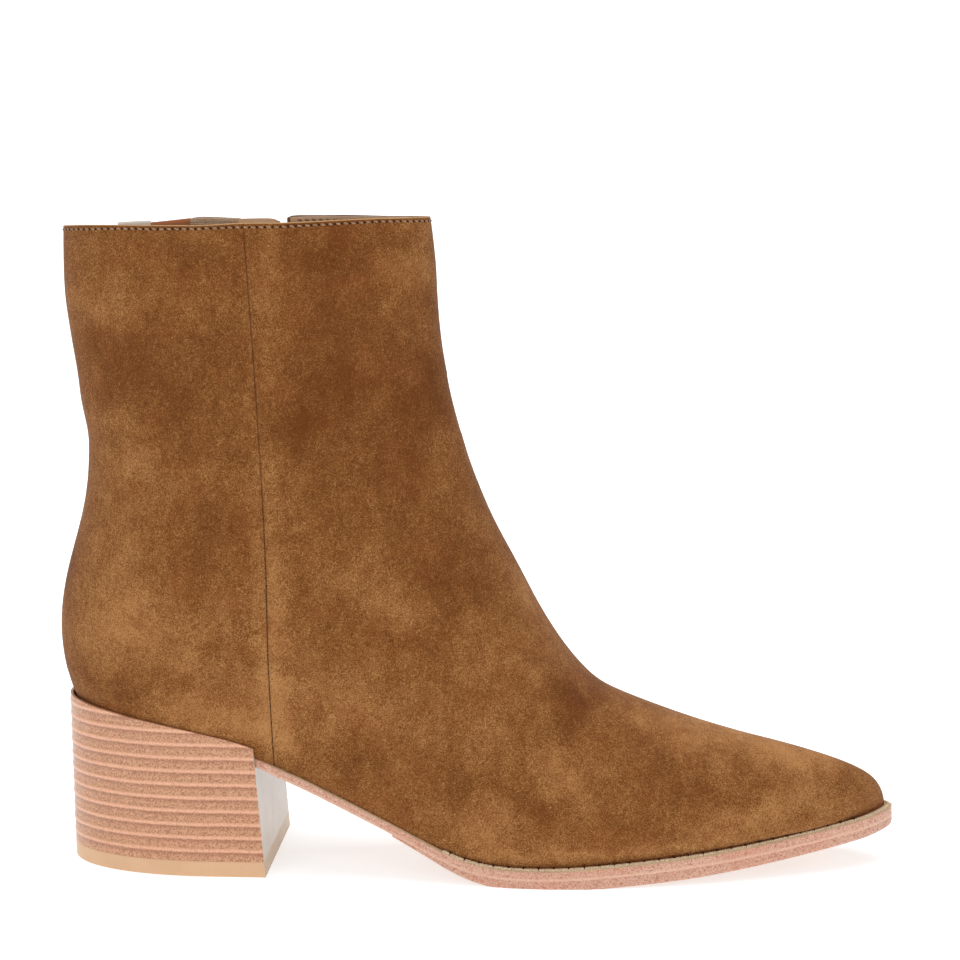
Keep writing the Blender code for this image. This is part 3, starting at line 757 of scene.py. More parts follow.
class Effect:
    """Node groups of the effects that several finishes share."""

    made: dict[str, bpy.types.NodeTree] = {}

    @classmethod
    def start(cls, name: str, numbers: Sequence[str], results: Sequence[str]) -> tuple[Bench, dict, dict]:
        """Begin a node group.

        Args:
            name: Name of the group.
            numbers: Names of its number inputs, after its coordinates.
            results: Names of its results.

        Returns:
            The bench, the input sockets by name and the output sockets by name.
        """
        tree = bpy.data.node_groups.new(name, "ShaderNodeTree")
        tree.interface.new_socket("Vector", in_out="INPUT", socket_type="NodeSocketVector")
        for number in numbers:
            tree.interface.new_socket(number, in_out="INPUT", socket_type="NodeSocketFloat")
        for result in results:
            tree.interface.new_socket(result, in_out="OUTPUT", socket_type="NodeSocketFloat")
        bench = Bench(tree)
        inside = bench.node("NodeGroupInput").outputs
        outside = bench.node("NodeGroupOutput").inputs
        cls.made[name] = tree
        return bench, {s.name: s for s in inside if s.name}, {s.name: s for s in outside if s.name}

    @classmethod
    def nap(cls) -> bpy.types.NodeTree:
        """Fine standing fibres: a speckle and a relief."""
        if "nap" not in cls.made:
            bench, inside, outside = cls.start("nap", ("Scale",), ("Speckle", "Height"))
            coarse = bench.noise(inside["Vector"], inside["Scale"], 2.0, 0.3)
            finer = bench.math("MULTIPLY", inside["Scale"], 2.3)
            fine = bench.noise(inside["Vector"], finer, 1.0)
            both = bench.math("ADD", bench.math("MULTIPLY", coarse, 0.6), bench.math("MULTIPLY", fine, 0.4))
            bench.feed(outside["Speckle"], bench.span(both, 0.34, 0.66, 0.0, 1.0))
            bench.feed(outside["Height"], both)
        return cls.made["nap"]

    @classmethod
    def cloud(cls) -> bpy.types.NodeTree:
        """Broad uneven shade, about 0.5 in the middle."""
        if "cloud" not in cls.made:
            bench, inside, outside = cls.start("cloud", ("Scale",), ("Shade",))
            broad = bench.noise(inside["Vector"], inside["Scale"], 3.0, 0.8)
            finer = bench.math("MULTIPLY", inside["Scale"], 3.1)
            small = bench.noise(inside["Vector"], finer, 3.0, 0.4)
            both = bench.math("ADD", bench.math("MULTIPLY", broad, 0.6), bench.math("MULTIPLY", small, 0.4))
            bench.feed(outside["Shade"], bench.span(both, 0.3, 0.7, 0.0, 1.0))
        return cls.made["cloud"]

    @classmethod
    def specks(cls) -> bpy.types.NodeTree:
        """Scattered pores, 1 where they are."""
        if "specks" not in cls.made:
            bench, inside, outside = cls.start("specks", ("Scale", "Cover"), ("Mask",))
            grain = bench.noise(inside["Vector"], inside["Scale"], 2.0)
            edge = bench.math("SUBTRACT", 0.78, bench.math("MULTIPLY", inside["Cover"], 0.4))
            over = bench.math("MULTIPLY", bench.math("SUBTRACT", grain, edge), 9.0, clamp=True)
            bench.feed(outside["Mask"], over)
        return cls.made["specks"]

    @classmethod
    def fibres(cls, bench: Bench, place: Socket, scale: float) -> Node:
        """Nap placed in a material."""
        return bench.group(cls.nap(), Vector=place, Scale=scale)

    @classmethod
    def shade(cls, bench: Bench, place: Socket, scale: float) -> Socket:
        """Cloud placed in a material."""
        return bench.group(cls.cloud(), Vector=place, Scale=scale).outputs["Shade"]

    @classmethod
    def pores(cls, bench: Bench, place: Socket, scale: float, cover: float) -> Socket:
        """Specks placed in a material."""
        return bench.group(cls.specks(), Vector=place, Scale=scale, Cover=cover).outputs["Mask"]


@dataclass(frozen=True)
class Finish:
    """Look of one material, with what is the same all over it."""

    name: str
    roughness: float = 0.6
    specular: float = 0.5
    sheen: float = 0.0
    coat: float = 0.0
    coat_roughness: float = 0.2
    metallic: float = 0.0

    def material(self) -> bpy.types.Material:
        """Blender material with this look, made once."""
        found = bpy.data.materials.get(self.name)
        if found:
            return found
        made = bpy.data.materials.new(self.name)
        made.use_nodes = True
        shader = made.node_tree.nodes["Principled BSDF"]
        bench = Bench(made.node_tree)
        gloss = {"Roughness": self.roughness, "Specular IOR Level": self.specular, "Metallic": self.metallic}
        coat = {"Coat Weight": self.coat, "Coat Roughness": self.coat_roughness}
        bench.fill(shader, {**gloss, **coat, "Sheen Weight": self.sheen})
        self.lay(bench, shader)
        return made

    def lay(self, bench: Bench, shader: Node) -> None:
        """Lay what changes over the surface."""
        raise NotImplementedError


@dataclass(frozen=True)
class SuedeFinish(Finish):
    """Brushed suede with strokes in its nap that carry painted light and shade too, darker in its seams, with
    painted shade just under the collar's edge and raw at its cut edge.
    """

    dark: Colour = tint(105, 57, 20)
    middle: Colour = tint(141, 89, 44)
    light: Colour = tint(190, 136, 83)
    groove: Colour = tint(66, 36, 14)
    warm: Colour = tint(136, 70, 34)
    raw: Colour = tint(214, 170, 120)
    raw_width: float = 0.42
    nap_scale: float = 2500.0
    nap_depth: float = 0.25

    def lay(self, bench: Bench, shader: Node) -> None:
        """Mix strokes with their painted light and shade, clouds and fibres into the colour, paint shade just
        under the collar's edge, and raise the fibres.
        """
        place = bench.place()
        nap = Effect.fibres(bench, place, self.nap_scale)
        cloud = Effect.shade(bench, place, 26.0)
        mottle = Effect.shade(bench, bench.place((1.0, 1.0, 0.7)), 95.0)
        clump = Effect.fibres(bench, place, self.nap_scale / 4).outputs["Speckle"]
        # The marks' layer carries strokes in the nap and painted light and shade.
        tone = bench.math("MULTIPLY_ADD", bench.painted(Layer.BRUSH), 0.42, 0.48)
        for shade, weight in ((cloud, 0.16), (mottle, 0.30), (clump, 0.20), (nap.outputs["Speckle"], 0.84)):
            tone = bench.math("MULTIPLY_ADD", bench.math("SUBTRACT", shade, 0.5), weight, tone)
        under = self.under_rim(bench, place)
        # Painted shade: the suede darkens in a band just under the collar's edge.
        tone = bench.math("SUBTRACT", tone, bench.span(under, 0.4 * MM, 1.8 * MM, 0.16, 0.0))
        colour = bench.ramp(tone, ((0.08, self.dark), (0.5, self.middle), (0.92, self.light)))
        blush = Effect.shade(bench, bench.place((1.0, 0.8, 1.2)), 60.0)
        colour = bench.mix(bench.span(blush, 0.45, 1.0, 0.0, 0.30), colour, self.warm)
        seam = bench.painted(Layer.SEAM)
        colour = bench.mix(bench.math("MULTIPLY", seam, 1.0, clamp=True), colour, self.groove)
        raw = bench.span(under, self.raw_width * MM * 0.4, self.raw_width * MM, 0.9, 0.0)
        colour = bench.mix(raw, colour, self.raw)
        bench.dress(shader, colour, bench.bump(nap.outputs["Height"], self.nap_depth, 0.6))

    @staticmethod
    def under_rim(bench: Bench, place: Socket) -> Socket:
        """Distance under the collar's edge.

        Args:
            bench: Bench of the material.
            place: Socket of the object coordinates.

        Returns:
            Socket of the distance in metres.
        """
        last = Last()
        slope = float(last.rim_z(1.0) - last.rim_z(0.0))
        height = float(last.rim_z(PLAN_CENTRE.x)) * MM
        axes = bench.node("ShaderNodeSeparateXYZ")
        bench.feed(axes.inputs[0], place)
        edge = bench.math("MULTIPLY_ADD", axes.outputs["X"], slope, height)
        lifted = bench.math("MULTIPLY_ADD", bench.painted(Layer.LIFT), MM, edge)
        return bench.math("SUBTRACT", lifted, axes.outputs["Z"])


@dataclass(frozen=True)
class LeatherFinish(Finish):
    """Smooth leather with a fine grain and an uneven shade."""

    dark: Colour = tint(150, 110, 76)
    light: Colour = tint(190, 150, 112)
    grain: float = 700.0
    grain_depth: float = 0.06

    def lay(self, bench: Bench, shader: Node) -> None:
        """Mix the shade, and raise the grain."""
        place = bench.place()
        cloud = Effect.shade(bench, place, 40.0)
        nap = Effect.fibres(bench, place, self.grain)
        tone = bench.math("MULTIPLY_ADD", nap.outputs["Speckle"], 0.25, bench.math("MULTIPLY", cloud, 0.75))
        relief = bench.bump(nap.outputs["Height"], self.grain_depth)
        bench.dress(shader, bench.mix(tone, self.dark, self.light), relief)


@dataclass(frozen=True)
class EdgeFinish(Finish):
    """Trimmed sole edge with pores, and a painted highlight on its beaded ridge."""

    base: Colour = tint(230, 164, 136)
    pore: Colour = tint(172, 86, 52)
    fleck: Colour = tint(255, 216, 190)
    # Colour of the painted highlight along the beaded ridge.
    bead: Colour = tint(250, 204, 176)
    warm: Colour = tint(222, 138, 98)
    pore_scale: float = 1350.0
    cover: float = 0.55
    grain_share: float = 0.8

    def lay(self, bench: Bench, shader: Node) -> None:
        """Scatter pores and flecks along the edge, and paint the highlight on the beaded ridge."""
        place = bench.place((0.8, 0.8, 1.0))
        cloud = Effect.shade(bench, bench.place((1.0, 1.0, 6.0)), 30.0)
        base = bench.mix(bench.math("MULTIPLY", cloud, 0.45), self.base, self.fleck)
        pores = Effect.pores(bench, place, self.pore_scale, self.cover)
        grain = Effect.fibres(bench, place, self.pore_scale).outputs["Speckle"]
        speckled = bench.mix(grain, self.pore, self.fleck)
        colour = bench.mix(self.grain_share, base, speckled)
        colour = bench.mix(bench.math("MULTIPLY", pores, 0.48), colour, self.pore)
        blush = Effect.shade(bench, bench.place((1.0, 1.0, 2.0)), 18.0)
        colour = bench.mix(bench.span(blush, 0.5, 0.9, 0.0, 0.30), colour, self.warm)
        # Painted highlight: the beaded ridge of the edge is lightened.
        bead = bench.math("MULTIPLY", bench.painted(Layer.BEAD), 0.55, clamp=True)
        bench.dress(shader, bench.mix(bead, colour, self.bead), bench.bump(pores, -0.05))


@dataclass(frozen=True)
class StackFinish(Finish):
    """Ribbed heel stack: porous bands with painted shade that darkens each band up to the ridge above it, and
    paler ridges between them.
    """

    low: Colour = tint(222, 162, 123)
    # Colour at the top of each band: painted shade under the ridge above.
    high: Colour = tint(184, 121, 84)
    ridge: Colour = tint(248, 186, 150)
    pore: Colour = tint(156, 92, 58)
    fleck: Colour = tint(242, 200, 154)
    start: float = 5.1
    pitch: float = 4.3
    pore_scale: float = 2000.0

    def lay(self, bench: Bench, shader: Node) -> None:
        """Paint each layer by its height in the stack."""
        place = bench.place()
        axes = bench.node("ShaderNodeSeparateXYZ")
        bench.feed(axes.inputs[0], place)
        layer = bench.math("MULTIPLY_ADD", axes.outputs["Z"], 1 / (self.pitch * MM), -self.start / self.pitch)
        wander = bench.noise(place, 90.0, 2.0)
        layer = bench.math("ADD", layer, bench.math("MULTIPLY_ADD", wander, 0.10, -0.05))
        phase = bench.math("FRACT", layer)
        # Painted shade: each band runs from its low colour to the darker high one just under the ridge above.
        stops = ((0.0, self.low), (0.30, self.low), (0.62, self.high), (0.76, self.ridge), (0.88, self.ridge))
        band = bench.ramp(phase, (*stops, (1.0, self.low)))
        inside = bench.math("SUBTRACT", 1.0, bench.span(phase, 0.62, 0.76, 0.0, 0.6))
        pores = Effect.pores(bench, place, self.pore_scale, 0.72)
        flecks = Effect.pores(bench, place, self.pore_scale * 0.7, 0.5)
        colour = band
        for mask, weight, paint in ((flecks, 0.55, self.fleck), (pores, 0.68, self.pore)):
            share = bench.math("MULTIPLY", mask, bench.math("MULTIPLY", inside, weight))
            colour = bench.mix(share, colour, paint)
        bench.dress(shader, colour, bench.bump(bench.math("MULTIPLY", pores, inside), -0.06))


@dataclass(frozen=True)
class SmoothFinish(Finish):
    """Smooth moulded or lacquered face with a faint unevenness."""

    base: Colour = tint(214, 172, 130)
    shade: Colour = tint(200, 156, 114)
    cloud_scale: float = 45.0
    ripple: float = 0.03

    def lay(self, bench: Bench, shader: Node) -> None:
        """Mix a faint shade, and let the face ripple."""
        place = bench.place()
        cloud = Effect.shade(bench, place, self.cloud_scale)
        nap = Effect.fibres(bench, place, 900.0)
        tone = bench.math("MULTIPLY_ADD", nap.outputs["Speckle"], 0.2, bench.math("MULTIPLY", cloud, 0.8))
        relief = bench.bump(nap.outputs["Height"], self.ripple)
        bench.dress(shader, bench.mix(tone, self.base, self.shade), relief)


@dataclass(frozen=True)
class ThreadFinish(Finish):
    """Twisted thread."""

    base: Colour = tint(196, 160, 128)
    shade: Colour = tint(140, 104, 78)
    twist: float = 2600.0

    def lay(self, bench: Bench, shader: Node) -> None:
        """Paint the strands and raise them."""
        strands = bench.noise(bench.place((1.0, 1.0, 1.6), (0.0, 35.0, 20.0)), self.twist, 1.0)
        tone = bench.span(strands, 0.35, 0.65, 0.0, 1.0)
        bench.dress(shader, bench.mix(tone, self.shade, self.base), bench.bump(strands, 0.06))


@dataclass(frozen=True)
class ClothFinish(Finish):
    """Woven tape with a rib along its length."""

    base: Colour = tint(104, 76, 54)
    shade: Colour = tint(62, 42, 28)
    rib: float = 1500.0

    def lay(self, bench: Bench, shader: Node) -> None:
        """Weave the ribs, and paint them."""
        place = bench.place()
        across = bench.node("ShaderNodeTexWave", wave_type="BANDS", bands_direction="X")
        along = bench.node("ShaderNodeTexWave", wave_type="BANDS", bands_direction="Z")
        for wave, scale in ((across, self.rib), (along, self.rib * 0.6)):
            bench.fill(wave, {"Vector": place, "Scale": scale / math.tau, "Distortion": 0.4})
        weave = bench.math("MULTIPLY", across.outputs["Fac"], along.outputs["Fac"])
        fuzz = Effect.fibres(bench, place, 1800.0).outputs["Speckle"]
        tone = bench.math("MULTIPLY_ADD", fuzz, 0.55, bench.math("MULTIPLY", weave, 0.45))
        bench.dress(shader, bench.mix(tone, self.shade, self.base), bench.bump(weave, 0.12))


@dataclass(frozen=True)
class MetalFinish(Finish):
    """Satin brass with a fine brushing."""

    base: Colour = tint(196, 174, 132)
    shade: Colour = tint(150, 126, 88)

    def lay(self, bench: Bench, shader: Node) -> None:
        """Brush the colour and the gloss along the zip."""
        brushed = bench.noise(bench.place((1.0, 1.0, 0.08)), 2400.0, 3.0)
        tone = bench.span(brushed, 0.3, 0.7, 0.0, 1.0)
        bench.feed(shader.inputs["Base Color"], bench.mix(tone, self.shade, self.base))
        gloss = bench.span(brushed, 0.3, 0.7, self.roughness, self.roughness + 0.15)
        bench.feed(shader.inputs["Roughness"], gloss)


SUEDE = SuedeFinish("brushed_suede", roughness=0.95, specular=0.12, sheen=0.07)
RAW_EDGE = LeatherFinish(
    "cut_suede_edge", 0.9, 0.2, dark=tint(150, 104, 62), light=tint(200, 158, 110), grain=1500.0
)
FLESH = LeatherFinish(
    "suede_inner_face", 0.95, 0.1, dark=tint(108, 82, 64), light=tint(138, 104, 80), grain=1500.0
)
LINING = LeatherFinish("lining_leather", 0.6, dark=tint(166, 126, 92), light=tint(204, 164, 126))
LINING_EDGE = LeatherFinish(
    "lining_edge", 0.8, dark=tint(176, 164, 150), light=tint(214, 204, 192), grain=1500.0
)
SOCK = LeatherFinish("sock_leather", 0.55, dark=tint(182, 140, 100), light=tint(214, 174, 134))
SOLE_EDGE = EdgeFinish("trimmed_edge", 0.45, coat=0.12, coat_roughness=0.35)
WELT = LeatherFinish("welt_ledge", 0.7, dark=tint(172, 136, 100), light=tint(226, 196, 156), grain=900.0)
TREAD_EDGE = EdgeFinish("tread_edge", 0.5, base=tint(222, 156, 126), pore=tint(164, 82, 50), cover=0.58)
TREAD = SmoothFinish("tread_face", 0.7, base=tint(190, 146, 112), shade=tint(172, 126, 94), ripple=0.08)
STACK = StackFinish("heel_stack", 0.42, coat=0.35, coat_roughness=0.35)
# Painted reflection: the heel's breast gets a pale grey copy of the stack's colour, standing for the bright
# room it mirrors.
BREAST_REFLECTION = SmoothFinish(
    "heel_breast", 0.35, coat=0.35, base=tint(210, 196, 178), shade=tint(184, 168, 148), cloud_scale=25.0
)
LIFT = SmoothFinish("heel_lift", 0.5, coat=0.1, base=tint(236, 192, 150), shade=tint(224, 178, 136))
# Painted shade and reflection: a darker, greyer copy of the lift's colour for its front face.
LIFT_FRONT_SHADE_AND_REFLECTION = SmoothFinish("lift_front", 0.4, coat=0.2, base=tint(204, 176, 138), shade=tint(186, 154, 116))
COLLAR_THREAD = ThreadFinish("collar_thread", 0.75, base=tint(184, 150, 120), shade=tint(124, 92, 68))
WELT_THREAD = ThreadFinish("welt_thread", 0.75, base=tint(240, 216, 184), shade=tint(186, 154, 118))
BROWN_THREAD = ThreadFinish("brown_thread", 0.85, 0.15, base=tint(146, 96, 50), shade=tint(96, 58, 26))
DARK_THREAD = ThreadFinish("seam_thread", 0.8, base=tint(74, 42, 20), shade=tint(40, 22, 10))
# Painted shade: dark lumps that stand for the shade in each needle hole and welt notch.
HOLE_SHADE = ThreadFinish("needle_hole", 0.95, 0.05, base=tint(86, 50, 26), shade=tint(60, 32, 14))
TAPE = ClothFinish("zip_weave", 0.9, 0.2)
BRASS = MetalFinish("zip_brass", 0.28, metallic=1.0)
WOVEN = ClothFinish("patch_weave", 0.6, 0.5, base=tint(240, 212, 180), shade=tint(150, 112, 82), rib=4200.0)
PATCH = LeatherFinish(
    "patch_suede", 0.95, 0.15, dark=tint(152, 92, 58), light=tint(192, 126, 84), grain=2000.0
)
GUARD = LeatherFinish("guard_leather", 0.6, dark=tint(160, 120, 84), light=tint(200, 158, 118))
TAB = LeatherFinish("tab_cloth", 0.8, 0.2, dark=tint(240, 226, 208), light=tint(253, 246, 236), grain=1600.0)


def loft(rings: Sequence[np.ndarray], closed: bool = False) -> Form:
    """Bend a grid onto successive rings of points.

    Args:
        rings: Lines of points, all of the same length.
        closed: Whether the end of each ring meets its start.

    Returns:
        The mesh, with what meets welded.
    """
    points = np.asarray(rings)
    if closed:
        points = np.concatenate((points, points[:, :1]), axis=1)
    rows, columns = points.shape[:2]
    bm = bmesh.new()
    bmesh.ops.create_grid(bm, x_segments=columns - 1, y_segments=rows - 1, size=0.5)
    for vert in bm.verts:
        across = round((vert.co.x + 0.5) * (columns - 1))
        up = round((vert.co.y + 0.5) * (rows - 1))
        vert.co = points[up, across]
    bmesh.ops.remove_doubles(bm, verts=bm.verts, dist=WELD)
    bmesh.ops.dissolve_degenerate(bm, edges=bm.edges, dist=WELD)
    bmesh.ops.recalc_face_normals(bm, faces=bm.faces)
    return bm


def fill_ends(bm: Form) -> Form:
    """Cap a mesh's open ends and turn its faces outwards."""
    edges = [edge for edge in bm.edges if edge.is_boundary]
    bmesh.ops.holes_fill(bm, edges=edges, sides=0)
    bmesh.ops.recalc_face_normals(bm, faces=bm.faces)
    return bm


def turn_out(bm: Form) -> Form:
    """Turn an open shell's faces to the outside."""
    widest = max(bm.faces, key=lambda face: face.calc_center_median().y)
    if widest.normal.y < 0:
        bmesh.ops.reverse_faces(bm, faces=bm.faces)
    bm.normal_update()
    return bm


def bevel(bm: Form, edges: list, width: float, segments: int) -> None:
    """Round edges of a mesh.

    Args:
        bm: Mesh to round.
        edges: Its edges that are rounded.
        width: Width of the rounding.
        segments: Steps across it.
    """
    bmesh.ops.bevel(
        bm, geom=edges, offset=width, offset_type="OFFSET", segments=segments, profile=0.5, affect="EDGES",
        material=-1,
    )


def push(bm: Form, faces: list, vec: tuple[float, float, float]) -> None:
    """Extrude faces of a mesh.

    Args:
        bm: Mesh that they belong to.
        faces: Faces to extrude.
        vec: How far their copies move.
    """
    pushed = bmesh.ops.extrude_face_region(bm, geom=faces)["geom"]
    moved = [item for item in pushed if isinstance(item, bmesh.types.BMVert)]
    bmesh.ops.translate(bm, verts=moved, vec=vec)


def mesh_of(name: str, bm: Form) -> bpy.types.Mesh:
    """Blender mesh of a form, which is let go.

    Args:
        name: Name of the mesh.
        bm: Form to keep in it.

    Returns:
        The mesh.
    """
    mesh = bpy.data.meshes.new(name)
    bm.to_mesh(mesh)
    bm.free()
    return mesh


def put(name: str, data: bpy.types.ID) -> bpy.types.Object:
    """Stand an object in the scene.

    Args:
        name: Name of the object.
        data: Its mesh, light or camera.

    Returns:
        The object.
    """
    obj = bpy.data.objects.new(name, data)
    bpy.context.scene.collection.objects.link(obj)
    return obj


def aim(obj: bpy.types.Object, direction: Vector) -> None:
    """Turn a light or the camera to look along a direction."""
    obj.rotation_mode = "QUATERNION"
    obj.rotation_quaternion = direction.to_track_quat("-Z", "Y")


def dress_node(name: str, look: Finish) -> None:
    """Give a CAD node that stays as it is its look.

    Args:
        name: Name of the node.
        look: Its finish.
    """
    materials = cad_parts[name].data.materials
    materials.clear()
    materials.append(look.material())


def places(bm: Form) -> np.ndarray:
    """Places of a mesh's vertices, a row for each."""
    return np.array([vert.co for vert in bm.verts])


def smooth_step(value: np.ndarray) -> np.ndarray:
    """Ease from 0 to 1."""
    held = np.clip(value, 0, 1)
    return held * held * (3 - 2 * held)


@dataclass
class Piece:
    """One piece of the bootie, from its mesh to its place on a body."""

    name: str
    slot: Slot
    body: Body = Body.BOOT
    wall: float = 0.0
    smooth_angle: float = 40.0

    def finish(self, bm: Form, finishes: Sequence[Finish], replaces: Sequence[str] = ()) -> None:
        """Make the object and let it ride.

        Args:
            bm: Mesh in the last's millimetres.
            finishes: Looks, in the order of the mesh's material numbers.
            replaces: CAD nodes that it stands for.
        """
        bmesh.ops.translate(bm, verts=bm.verts, vec=-PLAN_CENTRE)
        bmesh.ops.scale(bm, verts=bm.verts, vec=Vector((MM, MM, MM)))
        mesh = mesh_of(self.name, bm)
        for look in finishes:
            mesh.materials.append(look.material())
        mesh.shade_smooth()
        mesh.set_sharp_from_angle(angle=math.radians(self.smooth_angle))
        obj = put(self.name, mesh)
        if self.wall:
            shell = obj.modifiers.new("wall", "SOLIDIFY")
            shell.thickness = self.wall * MM
            shell.offset = -1.0
            shell.material_offset = max(0, len(finishes) - 2)
            shell.material_offset_rim = len(finishes) - 1
        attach(obj, self.body.value)
        if replaces:
            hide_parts(*replaces)
        LOG.info("%s: %d faces", self.name, len(mesh.polygons))


class Skin:
    """Outer face of the upper before it is cut, to lay stitches and the zip on."""

    def __init__(self, bm: Form) -> None:
        """Keep a search tree of the mesh."""
        self.tree = BVHTree.FromBMesh(bm)

    def side(self, side: Side, x: float, z: float) -> tuple[Vector, Vector]:
        """Point and normal on one side of the upper.

        Args:
            side: Side of the foot.
            x: Place along the foot.
            z: Height.

        Returns:
            The point and the outward normal.
        """
        start = Vector((x, side.value * 200.0, z))
        point, normal, _, _ = self.tree.ray_cast(start, Vector((0.0, -side.value, 0.0)))
        return point, normal

    def inward(self, start: Vector, direction: Vector) -> tuple[Vector, Vector] | None:
        """First point and normal that a straight look meets, or nothing."""
        point, normal, _, _ = self.tree.ray_cast(start, direction)
        return None if point is None else (point, normal)


@dataclass
class StitchRow:
    """Row of sewn stitches along a line of places."""

    pitch: float = 2.6
    length: float = 2.0
    width: float = 0.6
    rise: float = 0.3
    sink: float = 0.05
    slant: float = 0.0
    rings: int = 5
    sides: int = 8

    def lay(self, path: Sequence[tuple[Vector, Vector]], shift: float = 0.5) -> Form:
        """Lay stitches end to end.

        Args:
            path: Points and outward normals along the row, close together.
            shift: Where in its pitch a stitch has its middle.

        Returns:
            The stitches' mesh.
        """
        points = np.array([point for point, _ in path])
        normals = np.array([normal for _, normal in path])
        run = running(points)
        count = max(1, int(run[-1] / self.pitch))
        step = run[-1] / count
        bm = bmesh.new()
        for number in range(count):
            middle = (number + shift) * step
            ends = (middle - self.length / 2, middle, middle + self.length / 2)
            back, place, front = (self.read(at, run, points) for at in ends)
            normal = self.read(middle, run, normals).normalized()
            along = (front - back).normalized()
            along = Matrix.Rotation(math.radians(self.slant), 3, normal) @ along
            across = normal.cross(along).normalized()
            turn = Matrix((along, across, along.cross(across))).transposed().to_4x4()
            size = Matrix.Diagonal((self.length / 2, self.width / 2, self.rise, 1.0))
            spot = Matrix.Translation(place - normal * self.sink)
            bmesh.ops.create_uvsphere(
                bm, u_segments=self.sides, v_segments=self.rings, radius=1.0, matrix=spot @ turn @ size
            )
        return bm

    @staticmethod
    def read(at: float, run: np.ndarray, values: np.ndarray) -> Vector:
        """Value along a path at a distance from its start."""
        return Vector([np.interp(at, run, values[:, k]) for k in range(3)])


@dataclass
class Seam:
    """Closed seam that runs down one side: a groove between two soft ridges."""

    points: tuple[SeamPoint, ...]
    side: Side
    depth: float = 0.35
    groove: float = 0.16
    ridge: float = 0.14
    ridge_at: float = 1.0
    ridge_half: float = 0.6
    dark_top: float = 0.25
    dark_foot: float = 0.75
    fade: tuple[float, float] = (90.0, 150.0)
    offsets: tuple[float, ...] = (-1.9, -1.0, -0.3, 0.0, 0.3, 1.0, 1.9)
    reach: float = 5.0

    def line(self, z: Numbers) -> np.ndarray:
        """X of the seam at a height."""
        return straight(self.points, "x", z)

    def near(self, point: Vector) -> bool:
        """Whether a point lies beside the seam."""
        if point.y * self.side.value < 0 or abs(point.x - self.line(point.z)) > self.reach:
            return False
        return self.points[0].z < point.z < self.points[-1].z

    def cut(self, bm: Form) -> None:
        """Cut edges along the seam, so that it can be sunk.

        Args:
            bm: Upper's mesh.
        """
        faces = [face for face in bm.faces if self.near(face.calc_center_median())]
        level = parts_of(faces)
        for point in self.points[1:-1]:
            level = cut_plane(bm, level, Vector((point.x, 0.0, point.z)), Vector((0.0, 0.0, 1.0)))
        whole = [face for face in level if isinstance(face, bmesh.types.BMFace)]
        for low, high in zip(self.points, self.points[1:]):
            band = parts_of([face for face in whole if low.z <= face.calc_center_median().z < high.z])
            for offset in self.offsets:
                start = Vector((low.x + offset, 0.0, low.z))
                normal = Vector((high.z - low.z, 0.0, low.x - high.x)).normalized()
                band = cut_plane(bm, band, start, normal)

    def press(self, bm: Form) -> None:
        """Sink the groove and raise its ridges, and paint the groove.

        Args:
            bm: Upper's mesh.
        """
        paint = bm.verts.layers.float.get(Layer.SEAM.value)
        for vert in bm.verts:
            if not self.near(vert.co):
                continue
            off = abs(vert.co.x - float(self.line(vert.co.z)))
            sunk = math.exp(-((off / self.groove) ** 2))
            raised = math.exp(-(((off - self.ridge_at) / self.ridge_half) ** 2))
            vert.co += vert.normal * (self.ridge * raised - self.depth * sunk)
            dark = float(np.interp(vert.co.z, self.fade, (self.dark_foot, self.dark_top)))
            vert[paint] = max(vert[paint], sunk * dark)


def parts_of(faces: Sequence[bmesh.types.BMFace]) -> list:
    """Faces with their edges and corners."""
    edges = {edge for face in faces for edge in face.edges}
    verts = {vert for face in faces for vert in face.verts}
    return [*verts, *edges, *faces]


def cut_plane(bm: Form, geometry: list, place: Vector, normal: Vector) -> list:
    """Cut part of a mesh along a plane.

    Args:
        bm: Mesh to cut.
        geometry: Its part to cut.
        place: Point on the plane.
        normal: Direction across the plane.

    Returns:
        The part after the cut.
    """
    done = bmesh.ops.bisect_plane(bm, geom=geometry, dist=1e-4, plane_co=place, plane_no=normal)
    return done["geom"]


